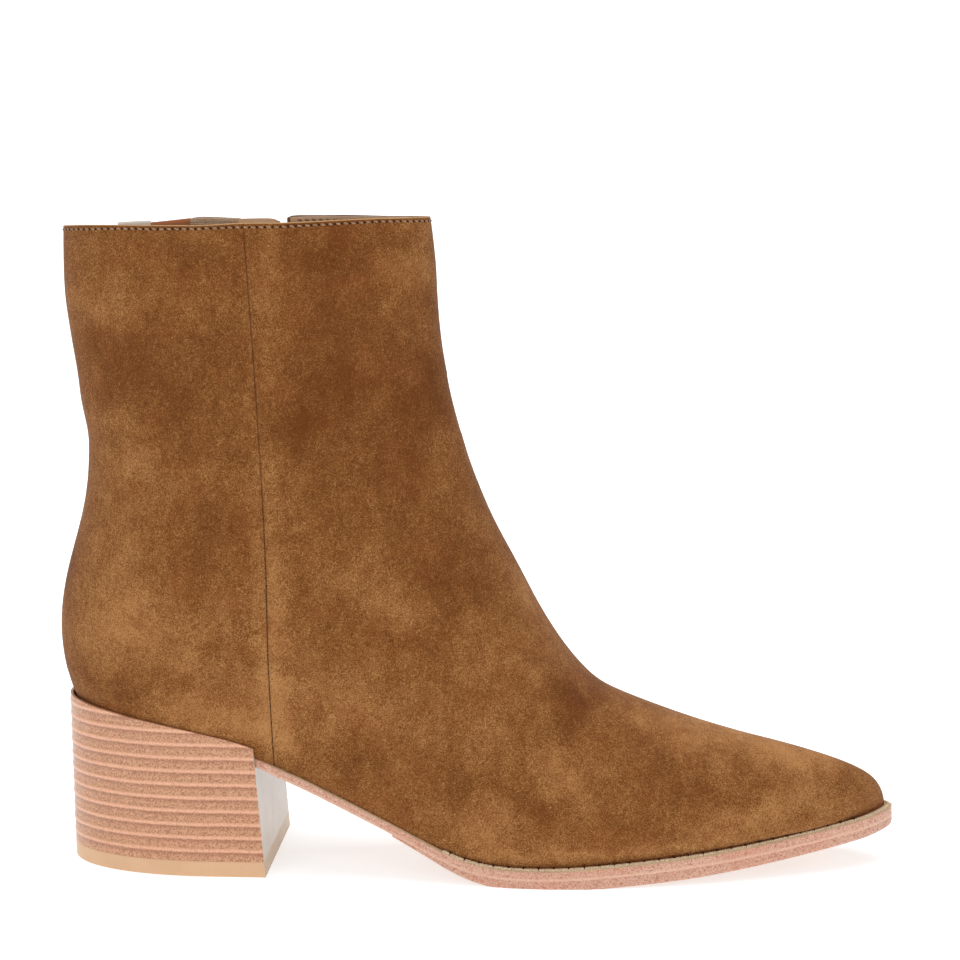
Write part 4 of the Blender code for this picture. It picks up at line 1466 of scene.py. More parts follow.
@dataclass
class Upper:
    """Suede upper with its lining, seams, slot and collar."""

    last: Last
    wall: float = 1.0
    columns: int = 150
    row_step: float = 2.0
    lining_columns: int = 64
    lining_step: float = 5.0
    lining_gap: float = 1.15
    lining_wall: float = 0.6
    lining_drop: float = 0.3
    rim_reach: float = 12.0
    rim_turn: float = 10.0
    slot_spare: float = 1.2
    strip_drop: float = 6.0
    strip_half: float = 12.0
    crease_half: float = 9.0
    crease_passes: int = 14
    rim_waves: tuple[tuple[float, float, float], ...] = ((1.0, 0.11, 0.6), (0.6, 0.23, 0.0))
    rim_wave: float = 0.10
    tuck: float = 0.45
    tuck_reach: float = 0.5
    stitch_drop: float = 1.25
    stitch_proud: float = 0.05
    collar_steps: int = 400
    collar_pull: float = 0.75
    look_from: float = 10.0
    slot_clear: float = 4.5
    thread_heights: tuple[float, float, int] = (41.0, 104.0, 90)
    thread_sink: float = 0.30
    medial_shift: float = -9.0
    inner_turn: float = 6.0
    sway: float = 1.7
    full_sway: float = 6.0
    stray_along: tuple[tuple[float, float], ...] = ((0.31, 0.17), (-0.12, 0.43))
    stray_up: tuple[tuple[float, float], ...] = ((0.21, 0.27), (0.49, -0.16))

    def surface(self, columns: int, step: float) -> Form:
        """Outer face, open at the collar and underneath.

        Args:
            columns: Steps around each section.
            step: Longest step from section to section.

        Returns:
            The face's mesh.
        """
        numbers = self.last.section_numbers(step)
        bm = loft([self.last.section(at, columns) for at in numbers])
        bend = self.last.section(self.last.closed_from, columns)
        soft = [vert for vert in bm.verts if not vert.is_boundary and self.near_bend(vert.co, bend)]
        axes = {"use_axis_x": True, "use_axis_y": True, "use_axis_z": True}
        for _ in range(self.crease_passes):
            bmesh.ops.smooth_vert(bm, verts=soft, factor=0.5, **axes)
        return turn_out(bm)

    def near_bend(self, place: Vector, bend: np.ndarray) -> bool:
        """Whether a point lies beside the section where the seat turns up the back."""
        start, top = bend[0], bend[len(bend) // 2]
        run = Vector((top[0] - start[0], 0.0, top[2] - start[2])).normalized()
        offset = Vector((place.x - start[0], 0.0, place.z - start[2]))
        return abs(run.x * offset.z - run.z * offset.x) < self.crease_half

    def beside_zip(self, place: Vector) -> bool:
        """Whether a point lies in the strip around the zip."""
        foot = ZIP_LINE[0]
        return place.y > 0 and place.z > foot.z - self.strip_drop and abs(place.x - foot.x) < self.strip_half

    def cut_slot(self, bm: Form, spare: float) -> None:
        """Take out the zip's slot on the inner side.

        Args:
            bm: Mesh to cut.
            spare: How much wider than the slot the cut is on each side.
        """
        level = parts_of([face for face in bm.faces if self.beside_zip(face.calc_center_median())])
        for point in ZIP_LINE[:-1]:
            level = cut_plane(bm, level, Vector((0.0, 0.0, point.z)), Vector((0.0, 0.0, 1.0)))
        whole = [face for face in level if isinstance(face, bmesh.types.BMFace)]
        for low, high in zip(ZIP_LINE, ZIP_LINE[1:]):
            band = parts_of([face for face in whole if low.z <= face.calc_center_median().z < high.z])
            for sign in (-1, 1):
                start = Vector((low.x + sign * (low.slot_half + spare), 0.0, low.z))
                end = Vector((high.x + sign * (high.slot_half + spare), 0.0, high.z))
                run = end - start
                band = cut_plane(bm, band, start, Vector((run.z, 0.0, -run.x)).normalized())
        gone = []
        for face in bm.faces:
            middle = face.calc_center_median()
            if self.beside_zip(middle) and middle.z > ZIP_LINE[0].z:
                half = float(straight(ZIP_LINE, "slot_half", middle.z)) + spare
                if abs(middle.x - float(straight(ZIP_LINE, "x", middle.z))) < half:
                    gone.append(face)
        bmesh.ops.delete(bm, geom=gone, context="FACES")

    def soften(self, bm: Form) -> None:
        """Press the soft creases into the upper and let its rim wave a little.

        Args:
            bm: Upper's mesh.
        """
        place = places(bm)
        rise = np.zeros(len(place))
        for crease in TROUGHS:
            start = np.array((crease.x0, crease.z0))
            run = np.array((crease.x1, crease.z1)) - start
            off = place[:, (0, 2)] - start
            share = np.clip(off @ run / (run @ run), 0, 1)
            away = np.linalg.norm(off - share[:, None] * run, axis=1)
            rise += crease.rise * np.exp(-((away / crease.half) ** 2))
        wave = sum(size * np.sin(place[:, 0] * rate + phase) for size, rate, phase in self.rim_waves)
        edge = self.rim_lift(place[:, 0], place[:, 1])
        lift = (self.rim_wave * wave + edge) * self.near_rim(place[:, 0], place[:, 2])
        paint = bm.verts.layers.float.new(Layer.LIFT.value)
        tucked = place[:, 2] < self.last.feather_z(place[:, 0]) + self.tuck_reach
        for vert, height, up, low in zip(bm.verts, rise, lift, tucked):
            if low and vert.is_boundary:
                vert.co.z -= self.tuck
            else:
                vert.co += vert.normal * height
            vert.co.z += up
            vert[paint] = up

    def rim_lift(self, x: Numbers, y: Numbers) -> np.ndarray:
        """How far the collar's edge stands up at a place in plan."""
        outer = smooth_step((self.rim_turn - y) / (2 * self.rim_turn))
        lateral, medial = (straight(RIM_LIFT, side.name.lower(), x) for side in Side)
        return outer * lateral + (1 - outer) * medial

    def near_rim(self, x: np.ndarray, z: np.ndarray) -> np.ndarray:
        """How much of the rim's own shape reaches a place: 1 at the edge, 0 well under it."""
        return smooth_step(1 - (self.last.rim_z(x) - z) / self.rim_reach)

    def brush(self, bm: Form) -> None:
        """Paint the marks: strokes in the nap, with painted light and shade among them.

        Args:
            bm: Upper's mesh.
        """
        paint = bm.verts.layers.float.new(Layer.BRUSH.value)
        place = places(bm)
        inner = smooth_step((place[:, 1] + self.inner_turn) / (2 * self.inner_turn))
        tone = np.zeros(len(place))
        ripple, sway = (
            sum(np.sin(place[:, 0] * along + place[:, 2] * up) for along, up in rates)
            for rates in (self.stray_along, self.stray_up)
        )
        for mark in NAP_LIGHT_AND_SHADE_MARKS:
            angle = math.radians(mark.turn)
            for weight, shift in ((1 - inner, 0.0), (inner, self.medial_shift)):
                stray = self.sway * min(1.0, mark.short / self.full_sway)
                x = place[:, 0] - mark.x - shift + stray * ripple
                z = place[:, 2] - mark.z + stray * sway
                along = (x * math.cos(angle) + z * math.sin(angle)) / mark.long
                across = (z * math.cos(angle) - x * math.sin(angle)) / mark.short
                tone += weight * mark.strength * np.exp(-(along**2 + across**2))
        for vert, value in zip(bm.verts, tone):
            vert[paint] = value

    def build(self) -> Skin:
        """Make the upper, its lining and its stitches.

        Returns:
            The outer face, for what lies on it.
        """
        bm = self.surface(self.columns, self.row_step)
        skin = Skin(bm)
        bm.verts.layers.float.new(Layer.SEAM.value)
        seams = (Seam(SIDE_SEAM, Side.LATERAL), Seam(INNER_SEAM, Side.MEDIAL))
        for seam in seams:
            seam.cut(bm)
        self.cut_slot(bm, 0.0)
        bm.normal_update()
        self.soften(bm)
        for seam in seams:
            seam.press(bm)
        self.brush(bm)
        Piece("upper_suede", Slot.SUEDE, wall=self.wall).finish(bm, (SUEDE, FLESH, RAW_EDGE), ("upper",))
        self.build_lining()
        self.sew_collar(skin)
        self.sew_seam(skin)
        return skin

    def build_lining(self) -> None:
        """Line the upper from the collar to the sole."""
        bm = self.surface(self.lining_columns, self.lining_step)
        self.cut_slot(bm, self.slot_spare)
        bm.normal_update()
        for vert in bm.verts:
            vert.co -= vert.normal * self.lining_gap
        place = places(bm)
        edge = self.rim_lift(place[:, 0], place[:, 1]) - self.lining_drop
        for vert, up in zip(bm.verts, edge * self.near_rim(place[:, 0], place[:, 2])):
            vert.co.z += up
        Piece("lining", Slot.INSOLE, wall=self.lining_wall).finish(bm, (LINING, LINING_EDGE))

    def collar_path(self, skin: Skin, drop: float, out: float) -> list[tuple[Vector, Vector]]:
        """Line around the shaft a distance under the collar's edge.

        Args:
            skin: Outer face of the upper.
            drop: Distance under the edge.
            out: Distance off the outer face.

        Returns:
            Points and outward normals, all the way round but for the zip's slot.
        """
        rim = self.last.section(len(SECTIONS) - 1, self.collar_steps)
        centre = Vector((rim[:, 0].mean(), 0.0, 0.0))
        path = []
        for x, y, z in rim:
            middle = Vector((centre.x + self.collar_pull * (x - centre.x), 0.0, 0.0))
            away = (Vector((x, y, 0.0)) - middle).normalized()
            height = z - drop + float(self.rim_lift(x, y))
            met = skin.inward(Vector((x, y, height)) + away * self.look_from, -away)
            if met and not (y > 0 and abs(x - ZIP_LINE[-2].x) < self.slot_clear):
                path.append((met[0] + met[1] * out, met[1]))
        slot = max(range(1, len(path)), key=lambda i: (path[i][0] - path[i - 1][0]).length)
        return path[slot:] + path[:slot]

    def sew_collar(self, skin: Skin) -> None:
        """Sew the row of stitches under the collar's edge, on both faces, with dark lumps of painted shade
        for each needle hole outside.

        Args:
            skin: Outer face of the upper.
        """
        row = StitchRow(pitch=2.35, length=1.65, width=0.70, rise=0.40, slant=-16.0)
        hole_shades = StitchRow(pitch=2.35, length=0.95, width=0.85, rise=0.26, slant=-16.0)
        outer = self.collar_path(skin, self.stitch_drop, 0.0)
        Piece("collar_stitches", Slot.SUEDE).finish(row.lay(outer), (COLLAR_THREAD,))
        # Dark lumps of painted shade at the stitches' ends, one for each needle hole.
        Piece("collar_needle_holes", Slot.SUEDE).finish(hole_shades.lay(outer, 0.0), (HOLE_SHADE,))
        inside = self.lining_gap + self.lining_wall + self.stitch_proud
        inner = [(point, -normal) for point, normal in self.collar_path(skin, self.stitch_drop, -inside)]
        Piece("lining_stitches", Slot.INSOLE).finish(row.lay(inner), (COLLAR_THREAD,))

    def sew_seam(self, skin: Skin) -> None:
        """Show the dark thread in the lower half of the side seam.

        Args:
            skin: Outer face of the upper.
        """
        seam = Seam(SIDE_SEAM, Side.LATERAL)
        path = []
        for z in np.linspace(*self.thread_heights):
            point, normal = skin.side(Side.LATERAL, float(seam.line(z)), z)
            path.append((point - normal * self.thread_sink, normal))
        row = StitchRow(pitch=2.7, length=1.5, width=0.42, rise=0.2, sink=0.0)
        Piece("side_seam_thread", Slot.SUEDE).finish(row.lay(path), (DARK_THREAD,))


@dataclass
class CollarInside:
    """What is sewn inside the collar: a bare tab, two patches and the guard behind the zip."""

    last: Last
    skin: Skin
    wall: float = 0.6
    columns: int = 30
    rows: int = 18
    rim_spare: float = 0.8

    def panel(self, top: tuple[PanelPoint, ...], foot: float, depth: float) -> Form:
        """Sheet that hangs inside the inner wall.

        Args:
            top: Its upper edge, from back to front.
            foot: Height of its lower edge.
            depth: Distance inside the upper's outer face.

        Returns:
            The sheet's mesh.
        """
        rings = []
        for x in np.linspace(top[0].x, top[-1].x, self.columns):
            rim = float(self.last.rim_z(x))
            ring = []
            for z in np.linspace(foot, rim + float(straight(top, "up", x)), self.rows):
                point, normal = self.skin.side(Side.MEDIAL, x, min(z, rim - self.rim_spare))
                ring.append((*(point - normal * depth).xy, z))
            rings.append(ring)
        return turn_out(loft(rings))

    def build(self) -> None:
        """Hang the panels."""
        for name, slot, finish, top, foot, depth in (
            ("suede_patch", Slot.SUEDE, PATCH, PATCH_TOP, 184.0, 2.2),
            ("woven_patch", Slot.CLOTH, WOVEN, WOVEN_TOP, 184.0, 2.9),
            ("zip_guard", Slot.INSOLE, GUARD, GUARD_TOP, 71.0, 3.6),
            ("bare_tab", Slot.INSOLE, TAB, TAB_TOP, 190.0, 2.4),
        ):
            Piece(name, slot, wall=self.wall).finish(self.panel(top, foot, depth), (finish,))


@dataclass
class Sole:
    """Stitched midsole with its welt ledge, the tread under it and the insole."""

    last: Last
    stations: int = 170
    outline_steps: int = 600
    heel_inset: float = 1.6
    seat_front: float = 60.0
    shank_start: float = 67.0
    tread_back: float = 104.0
    tip_spare: float = 0.8
    stitch_start: float = 119.0
    notch_end: float = 254.0
    thread_share: float = 0.40
    notch_share: float = 0.47
    top_tilt: float = 0.45
    bottom_tilt: float = -0.8

    def slope(self, x: float) -> float:
        """Rise of the feather line for each step in X."""
        return float(self.last.feather_z(x + 0.5) - self.last.feather_z(x - 0.5))

    def steepness(self, x: float) -> float:
        """Length along the feather line for each step in X."""
        return math.hypot(1.0, self.slope(x))

    def midsole_top(self, x: float) -> float:
        """Height of the midsole's top, just under the upper."""
        return float(self.last.feather_z(x)) - GAP

    def midsole_depth(self, x: float) -> float:
        """Upright thickness of the midsole."""
        return float(straight(LAYERS, "midsole", x)) * self.steepness(x)

    def tread_top(self, x: float) -> float:
        """Height of the tread's top, on the midsole."""
        return self.midsole_top(x) - self.midsole_depth(x)

    def tread_depth(self, x: float) -> float:
        """Upright thickness of the tread and its glue line."""
        return (float(straight(LAYERS, "outsole", x)) + GAP) * self.steepness(x)

    def seat_inset(self, x: np.ndarray) -> np.ndarray:
        """How far the midsole steps in where the heel's cup takes it."""
        share = np.clip((self.shank_start - x) / (self.shank_start - self.seat_front), 0, 1)
        return (self.heel_inset + GAP) * share

    def outline(
        self, side: Side, inset: Callable, start: float, back: float
    ) -> tuple[np.ndarray, np.ndarray]:
        """One side of a layer's outline in plan.

        Args:
            side: Side of the foot.
            inset: Distance in from the sole's edge along X.
            start: Where the layer begins.
            back: Where its rounded back end would be.

        Returns:
            Points, and the directions that point out of it.
        """
        tip = self.last.sole_tip + self.tip_spare
        turn = (1 - np.cos(np.linspace(0.0, math.pi, self.outline_steps))) / 2
        x = start + (tip - start) * turn
        y = side.value * self.last.half_width(x, side, inset(x), back, tip) + self.last.swing(x)
        points = evenly(np.column_stack((x, y)), self.stations)
        along = np.gradient(points, axis=0)
        out = np.column_stack((along[:, 1], -along[:, 0])) * -side.value
        out /= np.linalg.norm(out, axis=1)[:, None]
        out[-1] = (1.0, 0.0)
        if start == back:
            out[0] = (-1.0, 0.0)
        return points, out

    def layer(
        self,
        inset: Callable,
        start: float,
        back: float,
        edge: tuple[Edge, ...],
        top: Callable,
        depth: Callable,
    ) -> Form:
        """Layer that follows the feather line, with the profile of its edge on both sides.

        Args:
            inset: Distance in from the sole's edge along X.
            start: Where the layer begins.
            back: Where its rounded back end would be.
            edge: Profile of its edge.
            top: Height of its top along X.
            depth: Thickness along X.

        Returns:
            The layer's mesh, with the highlight of its beaded ridge painted and its faces numbered: edge 0,
            top 1, bottom 2.
        """
        sides = {side: self.outline(side, inset, start, back) for side in Side}
        rings = []
        for i in range(self.stations + 1):
            ring = []
            for side in Side:
                points, out = sides[side]
                centre = float(self.last.swing(points[i][0]))
                rows = edge if side is Side.LATERAL else edge[::-1]
                for row in rows:
                    reach = max(row.out, -abs(points[i][1] - centre))
                    x, y = points[i] + out[i] * reach
                    ring.append((x, y, max(0.0, top(x) - row.share * depth(x))))
            rings.append(ring)
        bm = loft(rings, closed=True)
        fill_ends(bm)
        # Paint the highlight of the beaded ridge by the share down the edge.
        paint = bm.verts.layers.float.new(Layer.BEAD.value)
        profile = sorted((row.share, row.bead) for row in edge)
        shares, bead_highlights = zip(*profile)
        for vert in bm.verts:
            share = (top(vert.co.x) - vert.co.z) / depth(vert.co.x)
            vert[paint] = float(np.interp(share, shares, bead_highlights))
        bm.normal_update()
        for face in bm.faces:
            up = face.normal.z
            face.material_index = 1 if up > self.top_tilt else 2 if up < self.bottom_tilt else 0
        return bm

    def midsole(self, edge: tuple[Edge, ...]) -> Form:
        """Midsole with the given profile of its edge."""
        back = self.last.sole_back + self.heel_inset + GAP
        return self.layer(self.seat_inset, back, back, edge, self.midsole_top, self.midsole_depth)

    def build(self) -> None:
        """Make the sole's layers and sew the welt."""
        midsole = self.midsole(MIDSOLE_EDGE)
        Piece("midsole_edge", Slot.SOLE).finish(midsole, (SOLE_EDGE, WELT, TREAD), ("midsole",))
        back = self.last.sole_back
        tread = self.layer(
            np.zeros_like, self.tread_back, back, OUTSOLE_EDGE, self.tread_top, self.tread_depth
        )
        Piece("tread_layer", Slot.TREAD).finish(tread, (TREAD_EDGE, TREAD_EDGE, TREAD), ("outsole",))
        self.sew_welt()
        dress_node("insole", SOCK)

    def welt_line(self, side: Side, share: float, end: float) -> list[tuple[Vector, Vector]]:
        """Line along one side of the ledge, from the arch to the toe.

        Args:
            side: Side of the foot.
            share: How far in from the sole's edge it lies, as a share of the ledge.
            end: Where it ends along X.

        Returns:
            Points and upward normals along it.
        """
        points, out = self.outline(side, np.zeros_like, self.last.sole_back, self.last.sole_back)
        line = []
        for (x, y), away in zip(points, out):
            if self.stitch_start < x < end:
                step = float(straight(LEDGE, "width", x)) * share
                spot = Vector((x - away[0] * step, y - away[1] * step, 0.0))
                spot.z = self.midsole_top(spot.x)
                line.append((spot, Vector((-self.slope(spot.x), 0.0, 1.0)).normalized()))
        return line

    def sew_welt(self) -> None:
        """Lay the welt's twisted thread along the ledge, with a dark lump of painted shade for the notch
        where each stitch goes down.
        """
        small = {"sink": 0.0, "rings": 4, "sides": 6}
        strands = StitchRow(pitch=0.84, length=1.9, width=0.85, rise=0.62, slant=34.0, **small)
        lateral, medial = (self.welt_line(side, self.thread_share, math.inf) for side in Side)
        Piece("welt_stitches", Slot.SOLE).finish(strands.lay(lateral + medial[-2::-1]), (WELT_THREAD,))
        # Dark lumps of painted shade, one at each notch.
        notch_shades = StitchRow(pitch=4.6, length=1.15, width=1.25, rise=1.12, **small)
        for side in Side:
            row = notch_shades.lay(self.welt_line(side, self.notch_share, self.notch_end))
            Piece(f"welt_notches_{side.name.lower()}", Slot.SOLE).finish(row, (HOLE_SHADE,))


@dataclass
class Heel:
    """Ribbed stack cupped around the seat, on its lift."""

    last: Last
    sole: Sole
    half_width: float = 27.9
    back_foot: float = -3.1
    back_top: float = -3.8
    breast_foot: float = 63.4
    breast_top: float = 58.6
    top: float = 60.0
    lip: float = 3.0
    pitch: float = 4.3
    band: float = 2.7
    rib: float = 0.18
    lift: float = 4.8
    columns: int = 130
    outline_steps: int = 400
    breast_steps: int = 10
    band_levels: tuple[tuple[float, float], ...] = ((0.0, 0.0), (0.5, -0.06), (0.94, -0.04))
    ridge_shares: tuple[float, ...] = (0.12, 0.3, 0.5, 0.7, 0.88)
    ridge_power: float = 0.7
    lift_edge: float = 0.35
    lift_round: float = 0.12
    lift_soft: float = 0.1
    cutter_margin: float = 15.0
    lip_steps: int = 40
    seat_step: float = 3.0
    seat_sections: tuple[float, float] = (10.0, 20.0)
    seat_columns: int = 70
    breast_tilt: float = 0.8
    breast_margin: float = 2.0

    def outline(self, z: float, out: float) -> np.ndarray:
        """Outline at one height, from the outer breast corner round the back and along the breast.

        Args:
            z: Height.
            out: Distance past the plain block.

        Returns:
            Points of the closed outline.
        """
        rise = z / self.top
        back = self.back_foot + rise * (self.back_top - self.back_foot)
        breast = self.breast_foot + rise * (self.breast_top - self.breast_foot)
        turn = 1 - np.cos(np.linspace(0.0, math.pi / 2, self.outline_steps))
        x = back + (breast - back) * turn
        width = self.half_width * rounding(x - back, self.last.heel_length, self.last.heel_power)
        lateral = np.column_stack((x, -width))
        medial = np.column_stack((x, width))
        points = evenly(np.concatenate((lateral[:0:-1], medial)), self.columns)
        along = np.gradient(points, axis=0)
        away = np.column_stack((-along[:, 1], along[:, 0]))
        away /= np.linalg.norm(away, axis=1)[:, None]
        away[0] = (0.0, -1.0)
        away[-1] = (0.0, 1.0)
        points = points + away * out
        front = np.linspace(points[-1], points[0], self.breast_steps + 1)[1:-1]
        plan = np.concatenate((points, front))
        return np.column_stack((plan, np.full(len(plan), z)))

    def block(self) -> Form:
        """Stack of ribs, taller than the seat that is cut into it."""
        ridge = self.pitch - self.band
        rings = []
        z = self.lift + GAP
        while z < self.top - self.pitch:
            for share, out in self.band_levels:
                rings.append(self.outline(z + share * self.band, out))
            for share in self.ridge_shares:
                out = self.rib * math.sin(math.pi * share) ** self.ridge_power
                rings.append(self.outline(z + self.band + share * ridge, out))
            z += self.pitch
        rings.append(self.outline(z, 0.0))
        return fill_ends(loft(rings, closed=True))

    def above_lip(self) -> Form:
        """Everything above the lip, which follows the feather line."""
        reach = 2 * self.half_width
        high = self.top + self.cutter_margin
        rings = []
        margin = self.cutter_margin
        for x in np.linspace(self.back_top - margin, self.breast_foot + margin, self.lip_steps):
            low = float(self.last.feather_z(x)) + self.lip
            rings.append([(x, -reach, low), (x, reach, low), (x, reach, high), (x, -reach, high)])
        return fill_ends(loft(rings, closed=True))

    def seat(self) -> Form:
        """The upper's seat as a filled form, a little larger."""
        first, end = self.seat_sections
        numbers = [at for at in self.last.section_numbers(self.seat_step) if first <= at <= end]
        bm = fill_ends(loft([self.last.section(at, self.seat_columns) for at in numbers], closed=True))
        return self.grown(bm)

    def sole_seat(self) -> Form:
        """The midsole's back as a filled form, a little larger."""
        return self.grown(self.sole.midsole(MIDSOLE_EDGE[1:-1]))

    @staticmethod
    def grown(bm: Form) -> Form:
        """Push a closed form's surface out by the gap."""
        bm.normal_update()
        for vert, normal in zip(bm.verts, [vert.normal.copy() for vert in bm.verts]):
            vert.co += normal * GAP
        return bm

    @staticmethod
    def shaped(block: Form, cutters: Sequence[Form]) -> Form:
        """Cut forms out of a block.

        Args:
            block: Block to cut.
            cutters: Closed forms to take away.

        Returns:
            The cut block.
        """
        made = []
        for number, bm in enumerate((block, *cutters)):
            name = f"heel_form_{number}"
            made.append(put(name, mesh_of(name, bm)))
        for cutter in made[1:]:
            cut = made[0].modifiers.new(cutter.name, "BOOLEAN")
            cut.operation = "DIFFERENCE"
            cut.solver = "EXACT"
            cut.object = cutter
        graph = bpy.context.evaluated_depsgraph_get()
        shaped = bmesh.new()
        shaped.from_mesh(made[0].evaluated_get(graph).data)
        for obj in made:
            bpy.data.objects.remove(obj, do_unlink=True)
        return shaped

    def build(self) -> None:
        """Make the stack and its lift."""
        bm = self.shaped(self.block(), (self.above_lip(), self.seat(), self.sole_seat()))
        bm.normal_update()
        breast = self.breast_top - self.breast_margin
        # Forward faces of the breast take the painted reflection.
        for face in bm.faces:
            ahead = face.normal.x > self.breast_tilt
            face.material_index = int(ahead and face.calc_center_median().x > breast)
        Piece("heel_stack", Slot.STACK, smooth_angle=30.0).finish(bm, (STACK, BREAST_REFLECTION), ("heel",))
        edge, soft, top = self.lift_edge, self.lift_soft, self.lift + GAP
        levels = ((0.0, -edge), (self.lift_round, -soft), (edge, 0.0), (top - soft, 0.0), (top, -soft))
        lift = fill_ends(loft([self.outline(z, out) for z, out in levels], closed=True))
        # Forward faces of the lift take its painted shade and reflection.
        for face in lift.faces:
            face.material_index = int(face.normal.x > self.breast_tilt)
        Piece("heel_lift", Slot.LIFT, smooth_angle=30.0).finish(lift, (LIFT, LIFT_FRONT_SHADE_AND_REFLECTION), ("top_lift",))


@dataclass
class Zip:
    """Inside zip: tape, teeth, slider, pull and the sewing around its slot."""

    skin: Skin
    foot: float = 74.6
    teeth_top: float = 190.0
    tooth_pitch: float = 1.05
    tooth: tuple[float, float, float] = (2.7, 1.3, 0.8)
    tooth_depth: float = 1.1
    tooth_shift: float = 0.75
    tooth_round: float = 0.2
    slider_x: float = 65.036
    slider_y: float = 23.406
    slider_z: float = 195.5
    lean: float = 4.816
    slider_half: float = 3.1
    slider_narrow: float = 0.72
    slider_length: float = 10.0
    slider_face: float = 1.3
    slider_thick: float = 3.0
    slider_round: float = 0.7
    bridge_half: float = 0.8
    bridge_reach: tuple[float, float, float] = (0.9, 3.6, 4.5)
    bridge_outside: tuple[float, float] = (3.4, 2.5)
    bridge_inside: float = 2.3
    bridge_round: float = 0.18
    bar_y: float = 2.45
    bar_z: float = 1.0
    pull_levels: tuple[tuple[float, float], ...] = (
        (0.65, 2.1), (-0.65, 2.2), (-6.0, 2.3), (-7.4, 2.0), (-17.0, 2.6), (-20.3, 1.9),
    )
    pull_thick: float = 1.0
    pull_round: float = 0.28
    eye_half: float = 1.3
    eye_heights: tuple[float, float] = (-6.0, -1.0)
    hard_angle: float = 0.3
    stitch_off: float = 2.4
    stitch_top: float = 202.0
    stitch_steps: int = 130
    foot_steps: int = 12

    def line(self, z: float) -> float:
        """X of the zip's middle at a height."""
        return float(straight(ZIP_LINE, "x", z))

    def frame(self) -> Matrix:
        """Place of the slider: X across, Y out of the upper, Z up along the zip."""
        place = Matrix.Translation((self.slider_x, self.slider_y, self.slider_z))
        return place @ Matrix.Rotation(math.radians(self.lean), 4, "X")

    def build(self) -> None:
        """Make the zip's pieces."""
        dress_node("zip_tape", TAPE)
        self.build_teeth()
        self.build_slider()
        self.build_pull()
        self.sew_slot()

    def build_teeth(self) -> None:
        """Set the closed teeth, left and right in turn."""
        bm = bmesh.new()
        count = int((self.teeth_top - self.foot) / self.tooth_pitch)
        wide, thick, tall = self.tooth
        for number in range(count):
            z = self.foot + (number + 0.5) * self.tooth_pitch
            point, normal = self.skin.side(Side.MEDIAL, self.line(z), z)
            up = Vector((0.0, 0.0, 1.0))
            across = normal.cross(up).normalized()
            turn = Matrix((across, normal, across.cross(normal))).transposed().to_4x4()
            shift = across * (self.tooth_shift if number % 2 else -self.tooth_shift)
            spot = Matrix.Translation(point - normal * self.tooth_depth + shift)
            size = Matrix.Diagonal((wide, thick, tall, 1.0))
            bmesh.ops.create_cube(bm, size=1.0, matrix=spot @ turn @ size)
        bevel(bm, bm.edges[:], self.tooth_round, 1)
        bmesh.ops.recalc_face_normals(bm, faces=bm.faces)
        Piece("zip_tooth_row", Slot.METAL).finish(bm, (BRASS,), ("zip_teeth",))

    def build_slider(self) -> None:
        """Shape the slider's body and the bridge on its face."""
        bm = bmesh.new()
        bmesh.ops.create_cube(bm, size=1.0)
        bmesh.ops.scale(bm, verts=bm.verts, vec=(2 * self.slider_half, self.slider_thick, self.slider_length))
        bmesh.ops.translate(bm, verts=bm.verts, vec=(0.0, self.slider_face - self.slider_thick / 2, 0.0))
        for vert in bm.verts:
            if vert.co.z < 0:
                vert.co.x *= self.slider_narrow
        self.soften(bm, self.slider_round)
        arch = bmesh.new()
        root, under, over = self.bridge_reach
        long, short = self.bridge_outside
        hole = self.bridge_inside
        outline = ((root, -long), (under, -long), (over, -short), (over, short), (under, long), (root, long))
        inner = ((root, hole), (under, hole), (under, -hole), (root, -hole))
        corners = [arch.verts.new((-self.bridge_half, y, z)) for y, z in (*outline, *inner)]
        push(arch, [arch.faces.new(corners)], (2 * self.bridge_half, 0.0, 0.0))
        self.soften(arch, self.bridge_round)
        spare = mesh_of("bridge_form", arch)
        bm.from_mesh(spare)
        bpy.data.meshes.remove(spare)
        bmesh.ops.transform(bm, matrix=self.frame(), verts=bm.verts)
        Piece("zip_slider_body", Slot.METAL).finish(bm, (BRASS,), ("zip_slider",))

    def soften(self, bm: Form, width: float) -> None:
        """Round the edges of a hard piece.

        Args:
            bm: Piece to round.
            width: Width of the rounding.
        """
        bmesh.ops.recalc_face_normals(bm, faces=bm.faces)
        sharp = [edge for edge in bm.edges if edge.calc_face_angle(0.0) > self.hard_angle]
        bevel(bm, sharp, width, 3)

    def build_pull(self) -> None:
        """Shape the pull that hangs from the bridge."""
        levels = self.pull_levels
        bm = bmesh.new()
        bmesh.ops.create_grid(bm, x_segments=3, y_segments=len(levels) - 1, size=0.5)
        for vert in bm.verts:
            number = round((vert.co.x + 0.5) * 3)
            z, half = levels[round((0.5 - vert.co.y) * (len(levels) - 1))]
            eye = min(self.eye_half, half)
            vert.co = ((-half, -eye, eye, half)[number], -self.pull_thick / 2, z)
        low, high = self.eye_heights
        middles = [(face, face.calc_center_median()) for face in bm.faces]
        gone = [face for face, middle in middles if abs(middle.x) < 0.1 and low < middle.z < high]
        bmesh.ops.delete(bm, geom=gone, context="FACES")
        push(bm, bm.faces[:], (0.0, self.pull_thick, 0.0))
        self.soften(bm, self.pull_round)
        axis = self.frame() @ Matrix.Translation((0.0, self.bar_y, self.bar_z))
        bmesh.ops.transform(bm, matrix=axis, verts=bm.verts)
        Piece("zip_pull_tab", Slot.METAL, Body.PULL).finish(bm, (BRASS,), ("zip_pull",))

